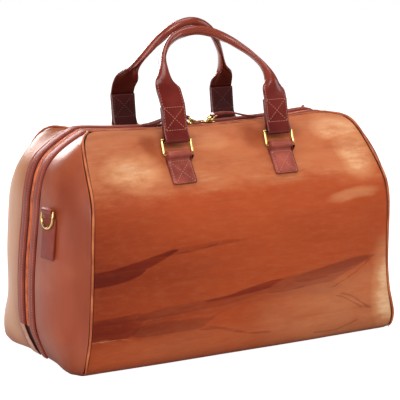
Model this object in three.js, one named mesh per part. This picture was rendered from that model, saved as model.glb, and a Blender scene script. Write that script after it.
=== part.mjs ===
// Leather travel bag: two face panels and four end gussets joined by piped seams, a zip over the top
// and down both ends, two rolled handles on brass rings, and a brass D-ring on each end.
// Millimetres, +Z up. The origin is the middle of the base, X runs along the bag, the front faces -Y.
import * as THREE from 'three';

// Leather and clearances
const WALL = 2.4;
const GAP = 0.3;

// Piped seams between the face panels and the end gussets
const PIPING_R = 2.2;
const SEAM_CLEAR = PIPING_R + GAP;
const PIPING_SIDES = 6;

// The piping's sections face away from a core: this share of their x, and upright up to this height
const CORE_SHARE_X = 0.6;
const CORE_TOP_Z = 160;

// Zip band, measured outwards from y = 0 and from the wall's outer face
const RIDGE_Z = 281;
const TRIM_INNER_Y = 8;
const TRIM_OUTER_Y = 21;
const TRIM_RISE = 1;
const TRIM_EDGE = 0.7;
const TRIM_DEPTH = 1.6;
const TAPE_Y = 19;
const TAPE_THICK = 1.2;
const CHAIN_Y = 5;
const CHAIN_RISE = 0.4;
const GUSSET_EDGE_Y = TRIM_OUTER_Y + GAP;
const PANEL_TOP_Y = TRIM_OUTER_Y + GAP + 2 * PIPING_R + GAP;
const RIDGE_STATIONS = [-125, -84, -42, 0, 42, 84, 125];

// The ridge sinks in the middle of the bag, most and farthest along on the back panel's edge
const RIDGE_HALF = 167;
const RIDGE_SAG = {
  front: { depth: 5, power: 2, half: RIDGE_HALF },
  zip: { depth: 6.5, power: 2, half: RIDGE_HALF },
  back: { depth: 9, power: 4, half: 185 },
};

// The face panels are flat from end to end within this distance of the middle, and shaped outside it
const PANEL_FLAT_X = 108;

// How fully the end gussets bulge: 2 is a parabola from the zip to the seam, more is flatter at the zip
const GUSSET_FULLNESS = 2.6;

// Handles and their fittings
const STRAP_WIDTH = 33;
const STRAP_THICK = 3;
const STRAP_END_ABOVE_BAR = 37;
const STRAP_NECK_ABOVE_BAR = 9;
const STRAP_FOLD_STEPS = 4;
const GRIP_CURL = 5.9;
const GRIP_MID_R = 3.6;
const GRIP_THICK = 6;
const HANDLE_FOCUS_Z = 330;
const HANDLE_FOCUS_ROW = 5;
const RING_WIRE_R = 1.7;
const RING_WIDTH = 40;
const RING_CORNER_R = 2.6;
const RING_SIDES = 6;
const RING_UPPER_BAR = { y: 67.6, z: 270.2 };
const RING_LOWER_BAR = { y: 73.9, z: 252.3 };
const TAB_FOLD_WALL = 3.5;
const TAB_THICK = 4.2;
const TAB_HEIGHT = 34;
const TAB_FOLD_CLEAR = 1;

// D-rings and the strips that hold them, on the left end near the front and on the right end near the back
const STRIP_CENTRE_Y = -55.5;
const STRIP_WIDTH = 26;
const STRIP_LOW_Z = 136.5;
const STRIP_TOP_BELOW_BAR = 9;
const STRIP_THICK = 2.4;
const STRIP_BOW = 0.5;
const STRIP_MARGIN = 40;
const LOOP_WIDTH = 19;
const LOOP_FOLD_WALL = 2;
const LOOP_NECK = { below: 5, lift: 0.6 };
const D_BAR_Z = 194.5;
const D_BAR_OFFSET = 5.6;
const D_WIRE_R = 1.5;
const D_INNER_WIDTH = 20.4;
const D_HEIGHT = 20.5;
const D_BOW_STEPS = 10;
const D_SIDES = 6;

// Zip sliders and pulls
const SLIDER_X = 11;
const SLIDER_HALF_Y = 4.6;
const LINK_WIRE_R = 0.9;
const LINK_WIDTH = 4.4;
const LINK_CORNER_R = 1.6;
const LINK_SIDES = 5;
const PULL_WIDTH = 11;
const PULL_THICK = 2.2;

const COLOURS = {
  tan: 0xb5623a,
  gusset: 0xa5583a,
  base: 0x9a5233,
  burgundy: 0x6a2a20,
  tape: 0xc8622c,
  brass: 0xc9a44c,
};

function table(columns, rows) {
  return rows.map((row) => Object.fromEntries(columns.map((name, i) => [name, row[i]])));
}

// Courses of the wall from the base edge up to the ridge, for one quarter of the bag. seam is where the
// face panel and the end gusset meet, mid is the face panel at the middle, zip is the end wall at the zip,
// lobe is how far the end gusset swells out between zip and seam, and sag is the share of the ridge's
// sinking that the face panel takes on that course.
const COURSES = table(
  ['seamX', 'seamY', 'seamZ', 'midY', 'midZ', 'zipX', 'zipZ', 'lobe', 'sag'],
  [
    [220.0, 101.0, 0, 103.0, 0, 222.0, 0, 9, 0],
    [222.0, 109.0, 3, 111.0, 3, 228.5, 3, 9, 0],
    [223.0, 115.0, 10, 117.5, 10, 233.0, 10, 9, 0],
    [222.6, 119.0, 24, 121.5, 24, 239.0, 24, 6, 0],
    [219.0, 118.6, 42, 121.5, 42, 245.5, 42, 2.5, 0],
    [216.2, 116.6, 60, 120.8, 60, 246.6, 60, -2.5, 0],
    [214.0, 115.2, 90, 120.4, 90, 246.8, 90, -1, 0],
    [213.0, 116.4, 124, 119.8, 122, 245.2, 122, 1, 0],
    [212.8, 117.4, 158, 117.6, 152, 242.2, 152, 0, 0],
    [211.9, 117.2, 184, 112.5, 178, 239.2, 178, 1, 0],
    [209.8, 113.6, 203, 104.0, 198, 237.4, 200, 1.5, 0],
    [207.5, 105.5, 217.5, 93.0, 213, 234.8, 215, 2, 0],
    [205.2, 94.0, 232, 81.5, 229, 231.4, 229, 3, 0],
    [202.3, 80.5, 248.5, 70.5, 246, 226.0, 242, 3, 0],
    [199.0, 68.0, 263, 59.5, 261, 218.0, 252.5, 3, 0.15],
    [194.5, 56.5, 273.5, 47.5, 272.5, 206.5, 261.5, 2, 0.5],
    [187.0, 45.5, 279.0, 38.0, 278.8, 193.5, 270, 1, 0.85],
    [177.5, 34.5, 280.6, 31.0, 280.7, 181.0, 276.5, 0, 1],
    [RIDGE_HALF, TRIM_OUTER_Y + SEAM_CLEAR, RIDGE_Z, PANEL_TOP_Y, RIDGE_Z, RIDGE_HALF, RIDGE_Z, 0, 1],
  ],
);
const TRIM_FIRST_COURSE = 1;
const CHAIN_FIRST_COURSE = 4;

// Centrelines of half a handle, from the ring's upper bar to the top of the arch.
// y is measured outwards from the middle of the bag, curl goes from 0, flat strap, to 1, rolled grip.
const HANDLE_COLUMNS = ['x', 'y', 'z', 'curl'];
const FRONT_HANDLE = table(HANDLE_COLUMNS, [
  [73.6, 67.6, 270.2, 0],
  [73.6, 60.0, 308, 0],
  [74.6, 56.0, 321, 0],
  [75.0, 48.8, 334, 0.2],
  [71.6, 35.0, 348.5, 0.9],
  [64.5, 18.4, 361.5, 1],
  [55.2, 6.1, 371, 1],
  [42.5, -4.6, 380.5, 1],
  [23.0, -12.5, 389.5, 1],
  [0.0, -14.5, 393, 1],
]);
const BACK_HANDLE = table(HANDLE_COLUMNS, [
  [73.6, 67.6, 270.2, 0],
  [73.6, 72.5, 308, 0],
  [72.8, 70.0, 321, 0],
  [69.6, 63.6, 334, 0.3],
  [63.4, 54.8, 347.5, 1],
  [55.4, 46.0, 361.5, 1],
  [42.0, 35.6, 380, 1],
  [29.3, 29.6, 392, 1],
  [15.0, 26.4, 400, 1],
  [0.0, 25.2, 403, 1],
]);
const HANDLE_STEPS_PER_ROW = 1.5;
const HANDLE_SECTION_POINTS = 8;

const bag = new THREE.Group();

function addPiece(name, geometry, colour, roughness, metalness) {
  const material = new THREE.MeshStandardMaterial({ color: colour, roughness, metalness });
  const mesh = new THREE.Mesh(geometry, material);
  mesh.name = name;
  return mesh;
}

const leather = (name, geometry, colour) => addPiece(name, geometry, colour, 0.45, 0);
const brass = (name, geometry) => addPiece(name, geometry, COLOURS.brass, 0.22, 1);

// A closed body from points and triangles, turned right side out by the sign of its volume.
function closedBody(points, triangles) {
  let volume = 0;
  const cross = new THREE.Vector3();
  for (const [a, b, c] of triangles) {
    volume += cross.crossVectors(points[b], points[c]).dot(points[a]);
  }
  const faces = volume < 0 ? triangles.map(([a, b, c]) => [a, c, b]) : triangles;
  const geometry = new THREE.BufferGeometry().setFromPoints(points);
  geometry.setIndex(faces.flat());
  geometry.computeVertexNormals();
  return geometry;
}

// Both triangles of a four-cornered face.
function quad(a, b, c, d) {
  return [[a, b, c], [a, c, d]];
}

// A leather wall: a grid of outer points, and the same grid moved in by the wall's thickness.
// The first row lies flat on the ground, so it is moved straight up.
function wallFromGrid(grid) {
  const rows = grid.length;
  const cols = grid[0].length;
  const outer = grid.flat();
  const inner = outer.map((point, k) => {
    const r = Math.floor(k / cols);
    const c = k % cols;
    const along = new THREE.Vector3().subVectors(
      grid[r][Math.min(c + 1, cols - 1)],
      grid[r][Math.max(c - 1, 0)],
    );
    const up = new THREE.Vector3().subVectors(
      grid[Math.min(r + 1, rows - 1)][c],
      grid[Math.max(r - 1, 0)][c],
    );
    const out = r === 0 ? new THREE.Vector3(0, 0, -1) : along.cross(up).normalize();
    return point.clone().addScaledVector(out, -WALL);
  });
  const points = [...outer, ...inner];
  const id = (r, c) => r * cols + c;
  const under = (k) => k + outer.length;
  const triangles = [];
  for (let r = 0; r + 1 < rows; r += 1) {
    for (let c = 0; c + 1 < cols; c += 1) {
      const corners = [id(r, c), id(r, c + 1), id(r + 1, c + 1), id(r + 1, c)];
      triangles.push(...quad(...corners), ...quad(...corners.map(under).reverse()));
    }
  }
  const rim = [];
  for (let c = 0; c < cols - 1; c += 1) rim.push(id(0, c));
  for (let r = 0; r < rows - 1; r += 1) rim.push(id(r, cols - 1));
  for (let c = cols - 1; c > 0; c -= 1) rim.push(id(rows - 1, c));
  for (let r = rows - 1; r > 0; r -= 1) rim.push(id(r, 0));
  rim.forEach((a, k) => {
    const b = rim[(k + 1) % rim.length];
    triangles.push(...quad(b, a, under(a), under(b)));
  });
  return closedBody(points, triangles);
}

// A body through equal rings of points. A capped body's end rings are closed by bands across the ring.
function loft(rings, { loop = false } = {}) {
  const size = rings[0].length;
  const points = rings.flat();
  const triangles = [];
  const last = loop ? rings.length : rings.length - 1;
  for (let r = 0; r < last; r += 1) {
    const here = r * size;
    const next = ((r + 1) % rings.length) * size;
    for (let k = 0; k < size; k += 1) {
      const m = (k + 1) % size;
      triangles.push(...quad(here + k, here + m, next + m, next + k));
    }
  }
  if (!loop) {
    const end = (rings.length - 1) * size;
    for (let k = 0; k + 1 < size / 2; k += 1) {
      const far = size - 1 - k;
      triangles.push(...quad(far, far - 1, k + 1, k));
      triangles.push(...quad(end + k, end + k + 1, end + far - 1, end + far));
    }
  }
  return closedBody(points, triangles);
}

function unitTangent(points, k, loop) {
  const n = points.length;
  const before = loop ? points[(k + n - 1) % n] : points[Math.max(k - 1, 0)];
  const after = loop ? points[(k + 1) % n] : points[Math.min(k + 1, n - 1)];
  return new THREE.Vector3().subVectors(after, before).normalize();
}

// A round cord or wire along points. sideOf gives a direction across the cord at each point.
function tube(points, radius, sides, sideOf, loop = false) {
  const rings = points.map((point, k) => {
    const along = unitTangent(points, k, loop);
    const side = sideOf(point).projectOnPlane(along).normalize();
    const other = new THREE.Vector3().crossVectors(along, side);
    return Array.from({ length: sides }, (_, j) => {
      const turn = (2 * Math.PI * (j + 0.5)) / sides;
      return point.clone()
        .addScaledVector(side, radius * Math.cos(turn))
        .addScaledVector(other, radius * Math.sin(turn));
    });
  });
  return loft(rings, { loop });
}

const FOLD_ARC_SEGMENTS = 5;

// A flat outline in (across, up), swept by its width along X and centred on x = 0.
function sweptAcross(shape, width) {
  const options = { depth: width, bevelEnabled: false, curveSegments: FOLD_ARC_SEGMENTS };
  const geometry = new THREE.ExtrudeGeometry(shape, options);
  const toFrame = new THREE.Matrix4().makeBasis(
    new THREE.Vector3(0, 1, 0),
    new THREE.Vector3(0, 0, 1),
    new THREE.Vector3(1, 0, 0),
  );
  geometry.applyMatrix4(toFrame);
  return geometry.translate(-width / 2, 0, 0);
}

const FOLD_STEPS = 7;

// The side outline of a strap that is folded round a bar at its first point and runs on as a doubled band.
function foldedStrap(line, thick, barHole, foldRadius) {
  const half = thick / 2;
  const side = (k, sign) => {
    const before = line[Math.max(k - 1, 1)];
    const after = line[Math.min(k + 1, line.length - 1)];
    const normal = new THREE.Vector2(before.y - after.y, after.x - before.x).normalize();
    return line[k].clone().addScaledVector(normal, sign * half);
  };
  const places = line.map((_, k) => k).slice(1);
  const left = places.map((k) => side(k, 1)).reverse();
  const right = places.map((k) => side(k, -1));
  const bar = line[0];
  const startTurn = left[left.length - 1].clone().sub(bar).angle();
  const endTurn = right[0].clone().sub(bar).angle();
  const sweep = THREE.MathUtils.euclideanModulo(endTurn - startTurn, 2 * Math.PI);
  const fold = [];
  for (let k = 1; k < FOLD_STEPS; k += 1) {
    const turn = startTurn + (sweep * k) / FOLD_STEPS;
    fold.push(new THREE.Vector2(bar.x + foldRadius * Math.cos(turn), bar.y + foldRadius * Math.sin(turn)));
  }
  const outline = [...right, ...left, ...fold];
  const shape = new THREE.Shape(outline);
  shape.holes.push(new THREE.Path().absarc(bar.x, bar.y, barHole, 0, 2 * Math.PI, true));
  return shape;
}

// Face panels

const smooth = THREE.MathUtils.smoothstep;
const mix = THREE.MathUtils.lerp;

const seamPoints = COURSES.map((c) => new THREE.Vector3(c.seamX, c.seamY, c.seamZ));

// How far the ridge has sunk at a distance x along the bag.
function ridgeSag(x, { depth, power, half }) {
  return depth * Math.max(0, 1 - (x / half) ** power);
}

// The courses of one face with their seam sunk by its share.
function sunkCourses(sag) {
  return COURSES.map((c) => ({ ...c, seamZ: c.seamZ - c.sag * ridgeSag(c.seamX, sag) }));
}

// Place of the face panel at a distance x along a course, as its distance out from y = 0 and its height.
function panelProfile(course, x, sag) {
  const k = smooth(Math.abs(x), PANEL_FLAT_X, course.seamX);
  return {
    y: Math.max(mix(course.midY, course.seamY, k), PANEL_TOP_Y),
    z: mix(course.midZ, course.seamZ, k) - course.sag * ridgeSag(x, sag),
  };
}

const PANEL_COLUMNS = [0, 0.26, 0.5, 0.61, 0.72, 0.82, 0.91, 1];

function facePanel(side, sag) {
  const columns = [...PANEL_COLUMNS.slice(1).reverse().map((u) => -u), ...PANEL_COLUMNS];
  const grid = COURSES.map((course, r) => {
    const along = unitTangent(seamPoints, Math.min(r, COURSES.length - 2), false);
    const halfLength = course.seamX - SEAM_CLEAR / Math.hypot(along.y, along.z);
    return columns.map((u) => {
      const x = -side * u * halfLength;
      const { y, z } = panelProfile(course, x, sag);
      return new THREE.Vector3(x, side * y, z);
    });
  });
  return wallFromGrid(grid);
}

bag.add(leather('front_panel', facePanel(-1, RIDGE_SAG.front), COLOURS.tan));
bag.add(leather('back_panel', facePanel(1, RIDGE_SAG.back), COLOURS.tan));

// End gussets

const LOBE_PEAK = 256 / 27;

// Place of the end wall on a course, from s = 0 at the zip to s = 1 at the seam. The lobe peaks at 3/4.
function gussetPoint(course, s) {
  const fall = s ** GUSSET_FULLNESS;
  const swell = course.lobe * LOBE_PEAK * s ** 3 * (1 - s);
  return new THREE.Vector3(
    mix(course.zipX, course.seamX, fall) + swell,
    mix(GUSSET_EDGE_Y, course.seamY, s),
    mix(course.zipZ, course.seamZ, fall),
  );
}

function mixCourses(a, b, t) {
  return Object.fromEntries(Object.keys(a).map((name) => [name, mix(a[name], b[name], t)]));
}

const GUSSET_COLUMNS = 7;
const GUSSET_TIP = 0.55;

// Points of the end wall on a course from the zip to the seam, which it stops short of by the piping.
function gussetRow(course, r) {
  const along = unitTangent(seamPoints, r, false);
  const across = new THREE.Vector3(
    GUSSET_FULLNESS * (course.seamX - course.zipX) - LOBE_PEAK * course.lobe,
    course.seamY - GUSSET_EDGE_Y,
    GUSSET_FULLNESS * (course.seamZ - course.zipZ),
  ).projectOnPlane(along);
  const sEnd = 1 - SEAM_CLEAR / across.length();
  return Array.from({ length: GUSSET_COLUMNS }, (_, c) => (
    gussetPoint(course, (sEnd * c) / (GUSSET_COLUMNS - 1))
  ));
}

function endGusset(endSide, faceSide, sag) {
  const courses = sunkCourses(sag);
  const ridge = courses.length - 1;
  const tip = mixCourses(courses[ridge - 1], courses[ridge], GUSSET_TIP);
  const toSide = new THREE.Vector3(endSide, faceSide, 1);
  const grid = [...courses.slice(0, ridge), tip].map((course, r) => {
    const row = gussetRow(course, r).map((point) => point.multiply(toSide));
    return endSide * faceSide > 0 ? row : row.reverse();
  });
  return wallFromGrid(grid);
}

for (const [endName, endSide] of [['left', -1], ['right', 1]]) {
  for (const [faceName, faceSide] of [['front', -1], ['back', 1]]) {
    const wall = endGusset(endSide, faceSide, RIDGE_SAG[faceName]);
    bag.add(leather(`${endName}_gusset_${faceName}`, wall, COLOURS.gusset));
  }
}

// Base

const BASE_INSET = 0.6;
const BASE_STEPS = 6;

function basePanel() {
  const foot = COURSES[0];
  const endRow = gussetRow(foot, 0).map(({ x, y }) => new THREE.Vector2(x - BASE_INSET, y));
  const nearEnd = endRow.map(({ x, y }) => new THREE.Vector2(x, -y)).reverse();
  const outline = [];
  for (const turn of [1, -1]) {
    for (let k = 0; k <= BASE_STEPS; k += 1) {
      const x = mix(-foot.seamX, foot.seamX, k / BASE_STEPS);
      const y = panelProfile(foot, x, RIDGE_SAG.front).y - BASE_INSET;
      outline.push(new THREE.Vector2(turn * x, -turn * y));
    }
    outline.push(...[...nearEnd, ...endRow].map((point) => point.clone().multiplyScalar(turn)));
  }
  return new THREE.ExtrudeGeometry(new THREE.Shape(outline), { depth: WALL, bevelEnabled: false });
}

bag.add(leather('base_panel', basePanel(), COLOURS.base));

// Piping

function pipedSeam(side, sag) {
  const half = sunkCourses(sag).slice(TRIM_FIRST_COURSE).map((c) => [c.seamX, c.seamY, c.seamZ]);
  const ridgeY = half[half.length - 1][1];
  const points = [
    ...half.map(([x, y, z]) => new THREE.Vector3(-x, side * y, z)),
    ...RIDGE_STATIONS.map((x) => new THREE.Vector3(x, side * ridgeY, RIDGE_Z - ridgeSag(x, sag))),
    ...half.reverse().map(([x, y, z]) => new THREE.Vector3(x, side * y, z)),
  ];
  const outFromCore = ({ x, y, z }) => (
    new THREE.Vector3((1 - CORE_SHARE_X) * x, y, z - Math.min(z, CORE_TOP_Z))
  );
  return tube(points, PIPING_R, PIPING_SIDES, outFromCore);
}

bag.add(leather('front_piping', pipedSeam(-1, RIDGE_SAG.front), COLOURS.tan));
bag.add(leather('back_piping', pipedSeam(1, RIDGE_SAG.back), COLOURS.tan));

// Zip band

// Points on the zip's line from the left end over the top to the right end, with their outward directions.
function zipStations(firstCourse) {
  const half = COURSES.slice(firstCourse).map((c) => new THREE.Vector3(c.zipX, 0, c.zipZ));
  const line = [
    ...half.map((p) => new THREE.Vector3(-p.x, 0, p.z)),
    ...RIDGE_STATIONS.map((x) => new THREE.Vector3(x, 0, RIDGE_Z - ridgeSag(x, RIDGE_SAG.zip))),
    ...half.reverse(),
  ];
  return line.map((point, k) => {
    const along = unitTangent(line, k, false);
    return { point, out: new THREE.Vector3(-along.z, 0, along.x) };
  });
}

function stripAlongZip(stations, sectionAt) {
  return loft(stations.map(({ point, out }, k) => sectionAt(k).map(({ y, rise }) => {
    const place = point.clone().addScaledVector(out, rise);
    return place.setY(y);
  })));
}

function rectangle(lowY, highY, low, high) {
  return [
    { y: lowY, rise: low },
    { y: lowY, rise: high },
    { y: highY, rise: high },
    { y: highY, rise: low },
  ];
}

function trimSection(side) {
  return [
    { y: side * TRIM_INNER_Y, rise: -TRIM_DEPTH },
    { y: side * TRIM_INNER_Y, rise: TRIM_RISE - TRIM_EDGE },
    { y: side * (TRIM_INNER_Y + TRIM_EDGE), rise: TRIM_RISE },
    { y: side * (TRIM_OUTER_Y - TRIM_EDGE), rise: TRIM_RISE },
    { y: side * TRIM_OUTER_Y, rise: TRIM_RISE - TRIM_EDGE },
    { y: side * TRIM_OUTER_Y, rise: -TRIM_DEPTH },
  ];
}

const tapeTop = -TRIM_DEPTH - GAP;
const wholeZip = zipStations(TRIM_FIRST_COURSE);
const closingZip = zipStations(CHAIN_FIRST_COURSE);
const tapeSection = rectangle(-TAPE_Y, TAPE_Y, tapeTop - TAPE_THICK, tapeTop);
const chainSection = rectangle(-CHAIN_Y, CHAIN_Y, tapeTop + GAP, CHAIN_RISE);

bag.add(leather('front_zip_trim', stripAlongZip(wholeZip, () => trimSection(-1)), COLOURS.burgundy));
bag.add(leather('back_zip_trim', stripAlongZip(closingZip, () => trimSection(1)), COLOURS.burgundy));
bag.add(addPiece('zip_tape', stripAlongZip(wholeZip, () => tapeSection), COLOURS.tape, 0.8, 0));
bag.add(addPiece('zip_chain', stripAlongZip(closingZip, () => chainSection), COLOURS.tape, 0.6, 0));

// Leather patches that close the zip at its lower ends, on the back trim's line and widening to the base
function patchSection(widening) {
  const innerY = mix(TRIM_INNER_Y, -TRIM_INNER_Y + GAP, widening);
  return rectangle(innerY, TRIM_OUTER_Y, -TRIM_DEPTH, TRIM_RISE);
}

const patchTop = CHAIN_FIRST_COURSE - TRIM_FIRST_COURSE;
const shortOfTrim = (stations, closeTo) => {
  const shortened = stations.map(({ point, out }) => ({ point: point.clone(), out }));
  const end = shortened[closeTo];
  const inner = shortened[closeTo === 0 ? 1 : closeTo - 1];
  end.point.add(inner.point.clone().sub(end.point).setLength(GAP));
  return shortened;
};
const leftPatch = shortOfTrim(wholeZip.slice(0, patchTop + 1), patchTop);
const rightPatch = shortOfTrim(wholeZip.slice(-patchTop - 1), 0);
const leftPatchBody = stripAlongZip(leftPatch, (k) => patchSection(1 - k / patchTop));
const rightPatchBody = stripAlongZip(rightPatch, (k) => patchSection(k / patchTop));
bag.add(leather('left_zip_end_patch', leftPatchBody, COLOURS.tan));
bag.add(leather('right_zip_end_patch', rightPatchBody, COLOURS.tan));

// Zip sliders and pulls, in a group whose x runs away from the middle of the ridge

const sliderFoot = RIDGE_Z - ridgeSag(0, RIDGE_SAG.zip) + CHAIN_RISE + GAP;
const SLIDER_OUTLINE = table(['x', 'z'], [
  [-7, 0],
  [7, 0],
  [7, 1.6],
  [4.2, 2.2],
  [3.2, 5.6],
  [-1.2, 5.6],
  [-3, 2.2],
  [-7, 1.6],
]);
const LINK_EYE = { x: 1.2, z: 3.5, r: 1.3 };
const PULL_EYE = { x: 9.5, z: 9.4, r: 1.3, fold: 2.6 };
const PULL_LINE = table(['x', 'z'], [
  [14, 10.6],
  [24, 11.2],
  [38, 9.8],
  [52, 6.2],
  [62, 3.9],
  [70, 3.6],
]);

const EYE_ARC_SEGMENTS = 4;

// A flat outline in (along the zip, up), swept by its width along Y and centred on y = 0.
function sweptAlongY(shape, width) {
  const options = { depth: width, bevelEnabled: false, curveSegments: EYE_ARC_SEGMENTS };
  const geometry = new THREE.ExtrudeGeometry(shape, options);
  geometry.rotateX(Math.PI / 2);
  return geometry.translate(0, width / 2, 0);
}

function sliderBody() {
  const shape = new THREE.Shape(SLIDER_OUTLINE.map(({ x, z }) => new THREE.Vector2(x, z)));
  shape.holes.push(new THREE.Path().absarc(LINK_EYE.x, LINK_EYE.z, LINK_EYE.r, 0, 2 * Math.PI, true));
  return sweptAlongY(shape, 2 * SLIDER_HALF_Y);
}

// A rectangular wire ring in the plane of X and the line from its low bar to its high bar.
function wireRing(low, high, width, wireR, cornerR, sides) {
  const rise = new THREE.Vector3().subVectors(high, low);
  const up = rise.clone().normalize();
  const across = new THREE.Vector3(1, 0, 0);
  const facing = new THREE.Vector3().crossVectors(across, up);
  const middle = low.clone().addScaledVector(rise, 0.5);
  const points = [];
  const corners = [[1, 1, 0], [-1, 1, 1], [-1, -1, 2], [1, -1, 3]];
  for (const [sx, su, quarter] of corners) {
    for (let k = 0; k <= 2; k += 1) {
      const turn = (quarter + k / 2) * (Math.PI / 2);
      points.push(middle.clone()
        .addScaledVector(across, sx * (width / 2 - cornerR) + cornerR * Math.cos(turn))
        .addScaledVector(up, su * (rise.length() / 2 - cornerR) + cornerR * Math.sin(turn)));
    }
  }
  return tube(points, wireR, sides, () => facing.clone(), true);
}

function pullLink() {
  const low = new THREE.Vector3(0, LINK_EYE.x, LINK_EYE.z);
  const high = new THREE.Vector3(0, PULL_EYE.x, PULL_EYE.z);
  const width = 2 * SLIDER_HALF_Y + LINK_WIDTH;
  const geometry = wireRing(low, high, width, LINK_WIRE_R, LINK_CORNER_R, LINK_SIDES);
  return geometry.rotateZ(-Math.PI / 2);
}

function pullTail() {
  const line = [PULL_EYE, ...PULL_LINE].map(({ x, z }) => new THREE.Vector2(x, z));
  return sweptAlongY(foldedStrap(line, PULL_THICK, PULL_EYE.r, PULL_EYE.fold), PULL_WIDTH);
}

for (const [endName, endSide] of [['left', -1], ['right', 1]]) {
  const group = new THREE.Group();
  group.position.set(endSide * SLIDER_X, 0, sliderFoot);
  group.rotation.z = endSide < 0 ? Math.PI : 0;
  group.add(brass(`${endName}_slider`, sliderBody()));
  group.add(brass(`${endName}_pull_link`, pullLink()));
  group.add(leather(`${endName}_zip_pull`, pullTail(), COLOURS.burgundy));
  bag.add(group);
}

// Handle fittings: rectangular rings, and tabs folded round their lower bars and sewn to the panel

const tabHole = RING_WIRE_R + GAP;
const tabFoldR = tabHole + TAB_FOLD_WALL;

const TAB_CURVE_MARGIN = { below: 20, above: 2 };
const TAB_CURVE_STEPS = 24;
const TAB_KEEP_EVERY = 3;

// The tab's line down the panel, in (out from y = 0, height), from the ring's lower bar.
function tabLine() {
  const surface = COURSES.map((c) => new THREE.Vector2(c.midY, c.midZ));
  const lift = GAP + TAB_THICK / 2;
  const lowZ = RING_LOWER_BAR.z - TAB_HEIGHT;
  const near = surface.filter((p) => (
    p.y > lowZ - TAB_CURVE_MARGIN.below && p.y < RING_LOWER_BAR.z + TAB_CURVE_MARGIN.above
  ));
  const points = new THREE.SplineCurve(near).getPoints(TAB_CURVE_STEPS);
  const lifted = points.map((p, k) => {
    const before = points[Math.max(k - 1, 0)];
    const after = points[Math.min(k + 1, points.length - 1)];
    const normal = new THREE.Vector2(after.y - before.y, before.x - after.x).normalize();
    return p.clone().addScaledVector(normal, lift);
  });
  const top = RING_LOWER_BAR.z - tabFoldR - TAB_FOLD_CLEAR;
  const kept = lifted.filter((p) => p.y >= lowZ && p.y <= top).reverse();
  const bar = new THREE.Vector2(RING_LOWER_BAR.y, RING_LOWER_BAR.z);
  return [bar, ...kept.filter((_, k) => k % TAB_KEEP_EVERY === 0)];
}

function handleTab() {
  return sweptAcross(foldedStrap(tabLine(), TAB_THICK, tabHole, tabFoldR), STRAP_WIDTH);
}

const lowerBar = new THREE.Vector3(0, RING_LOWER_BAR.y, RING_LOWER_BAR.z);
const upperBar = new THREE.Vector3(0, RING_UPPER_BAR.y, RING_UPPER_BAR.z);

for (const [faceName, faceTurn, rows] of [['front', Math.PI, FRONT_HANDLE], ['back', 0, BACK_HANDLE]]) {
  for (const [endName, endSide] of [['left', -1], ['right', 1]]) {
    const fitting = new THREE.Group();
    fitting.rotation.z = faceTurn;
    fitting.position.x = endSide * rows[0].x;
    const ring = wireRing(lowerBar, upperBar, RING_WIDTH, RING_WIRE_R, RING_CORNER_R, RING_SIDES);
    fitting.add(brass(`${faceName}_${endName}_ring`, ring));
    fitting.add(leather(`${faceName}_${endName}_tab`, handleTab(), COLOURS.burgundy));
    bag.add(fitting);
  }
}

// Handles: straps that roll into a grip, with both ends folded up inside round the rings' upper bars

const strapFoldR = RING_WIRE_R + GAP + STRAP_THICK / 2;
const plyOffset = (STRAP_THICK + GAP) / 2;
const FLAT_ANGLE = 1e-3;

// Section of the strap as it rolls into the grip, as pairs of distances across and outwards.
function strapSection(curl) {
  const angle = curl * GRIP_CURL;
  const width = mix(STRAP_WIDTH, GRIP_CURL * GRIP_MID_R, curl);
  const half = mix(STRAP_THICK, GRIP_THICK, curl) / 2;
  const flat = angle < FLAT_ANGLE;
  const bend = flat ? 0 : width / angle;
  const balance = flat ? 0 : Math.sin(angle / 2) / (angle / 2);
  const band = (rise) => Array.from({ length: HANDLE_SECTION_POINTS }, (_, k) => {
    const across = k / (HANDLE_SECTION_POINTS - 1) - 0.5;
    if (flat) return [width * across, rise];
    const turn = angle * across;
    return [(bend + rise) * Math.sin(turn), (bend + rise) * Math.cos(turn) - bend * balance];
  });
  return [...band(half), ...band(-half).reverse()];
}

// Stations of a strap's end: down its inner side, round the ring's upper bar and up its outer side.
function strapFold(bar, strapUp, strapOut) {
  const place = (out, up) => bar.clone().addScaledVector(strapOut, out).addScaledVector(strapUp, up);
  const strapDown = strapUp.clone().negate();
  const inward = strapOut.clone().negate();
  const stations = [STRAP_END_ABOVE_BAR, STRAP_NECK_ABOVE_BAR].map((up) => (
    { point: place(-plyOffset, up), along: strapDown, out: inward, curl: 0 }
  ));
  for (let k = 0; k <= STRAP_FOLD_STEPS; k += 1) {
    const turn = Math.PI * (1 + k / STRAP_FOLD_STEPS);
    const out = place(Math.cos(turn), Math.sin(turn)).sub(bar);
    const along = place(-Math.sin(turn), Math.cos(turn)).sub(bar);
    stations.push({ point: bar.clone().addScaledVector(out, strapFoldR), along, out, curl: 0 });
  }
  stations.push({ point: place(plyOffset, STRAP_NECK_ABOVE_BAR), along: strapUp, out: strapOut, curl: 0 });
  return stations;
}

function mirroredStation({ point, along, out, curl }) {
  return {
    point: point.clone().setX(-point.x),
    along: along.clone().negate().setX(along.x),
    out: out.clone().setX(-out.x),
    curl,
  };
}

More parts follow.
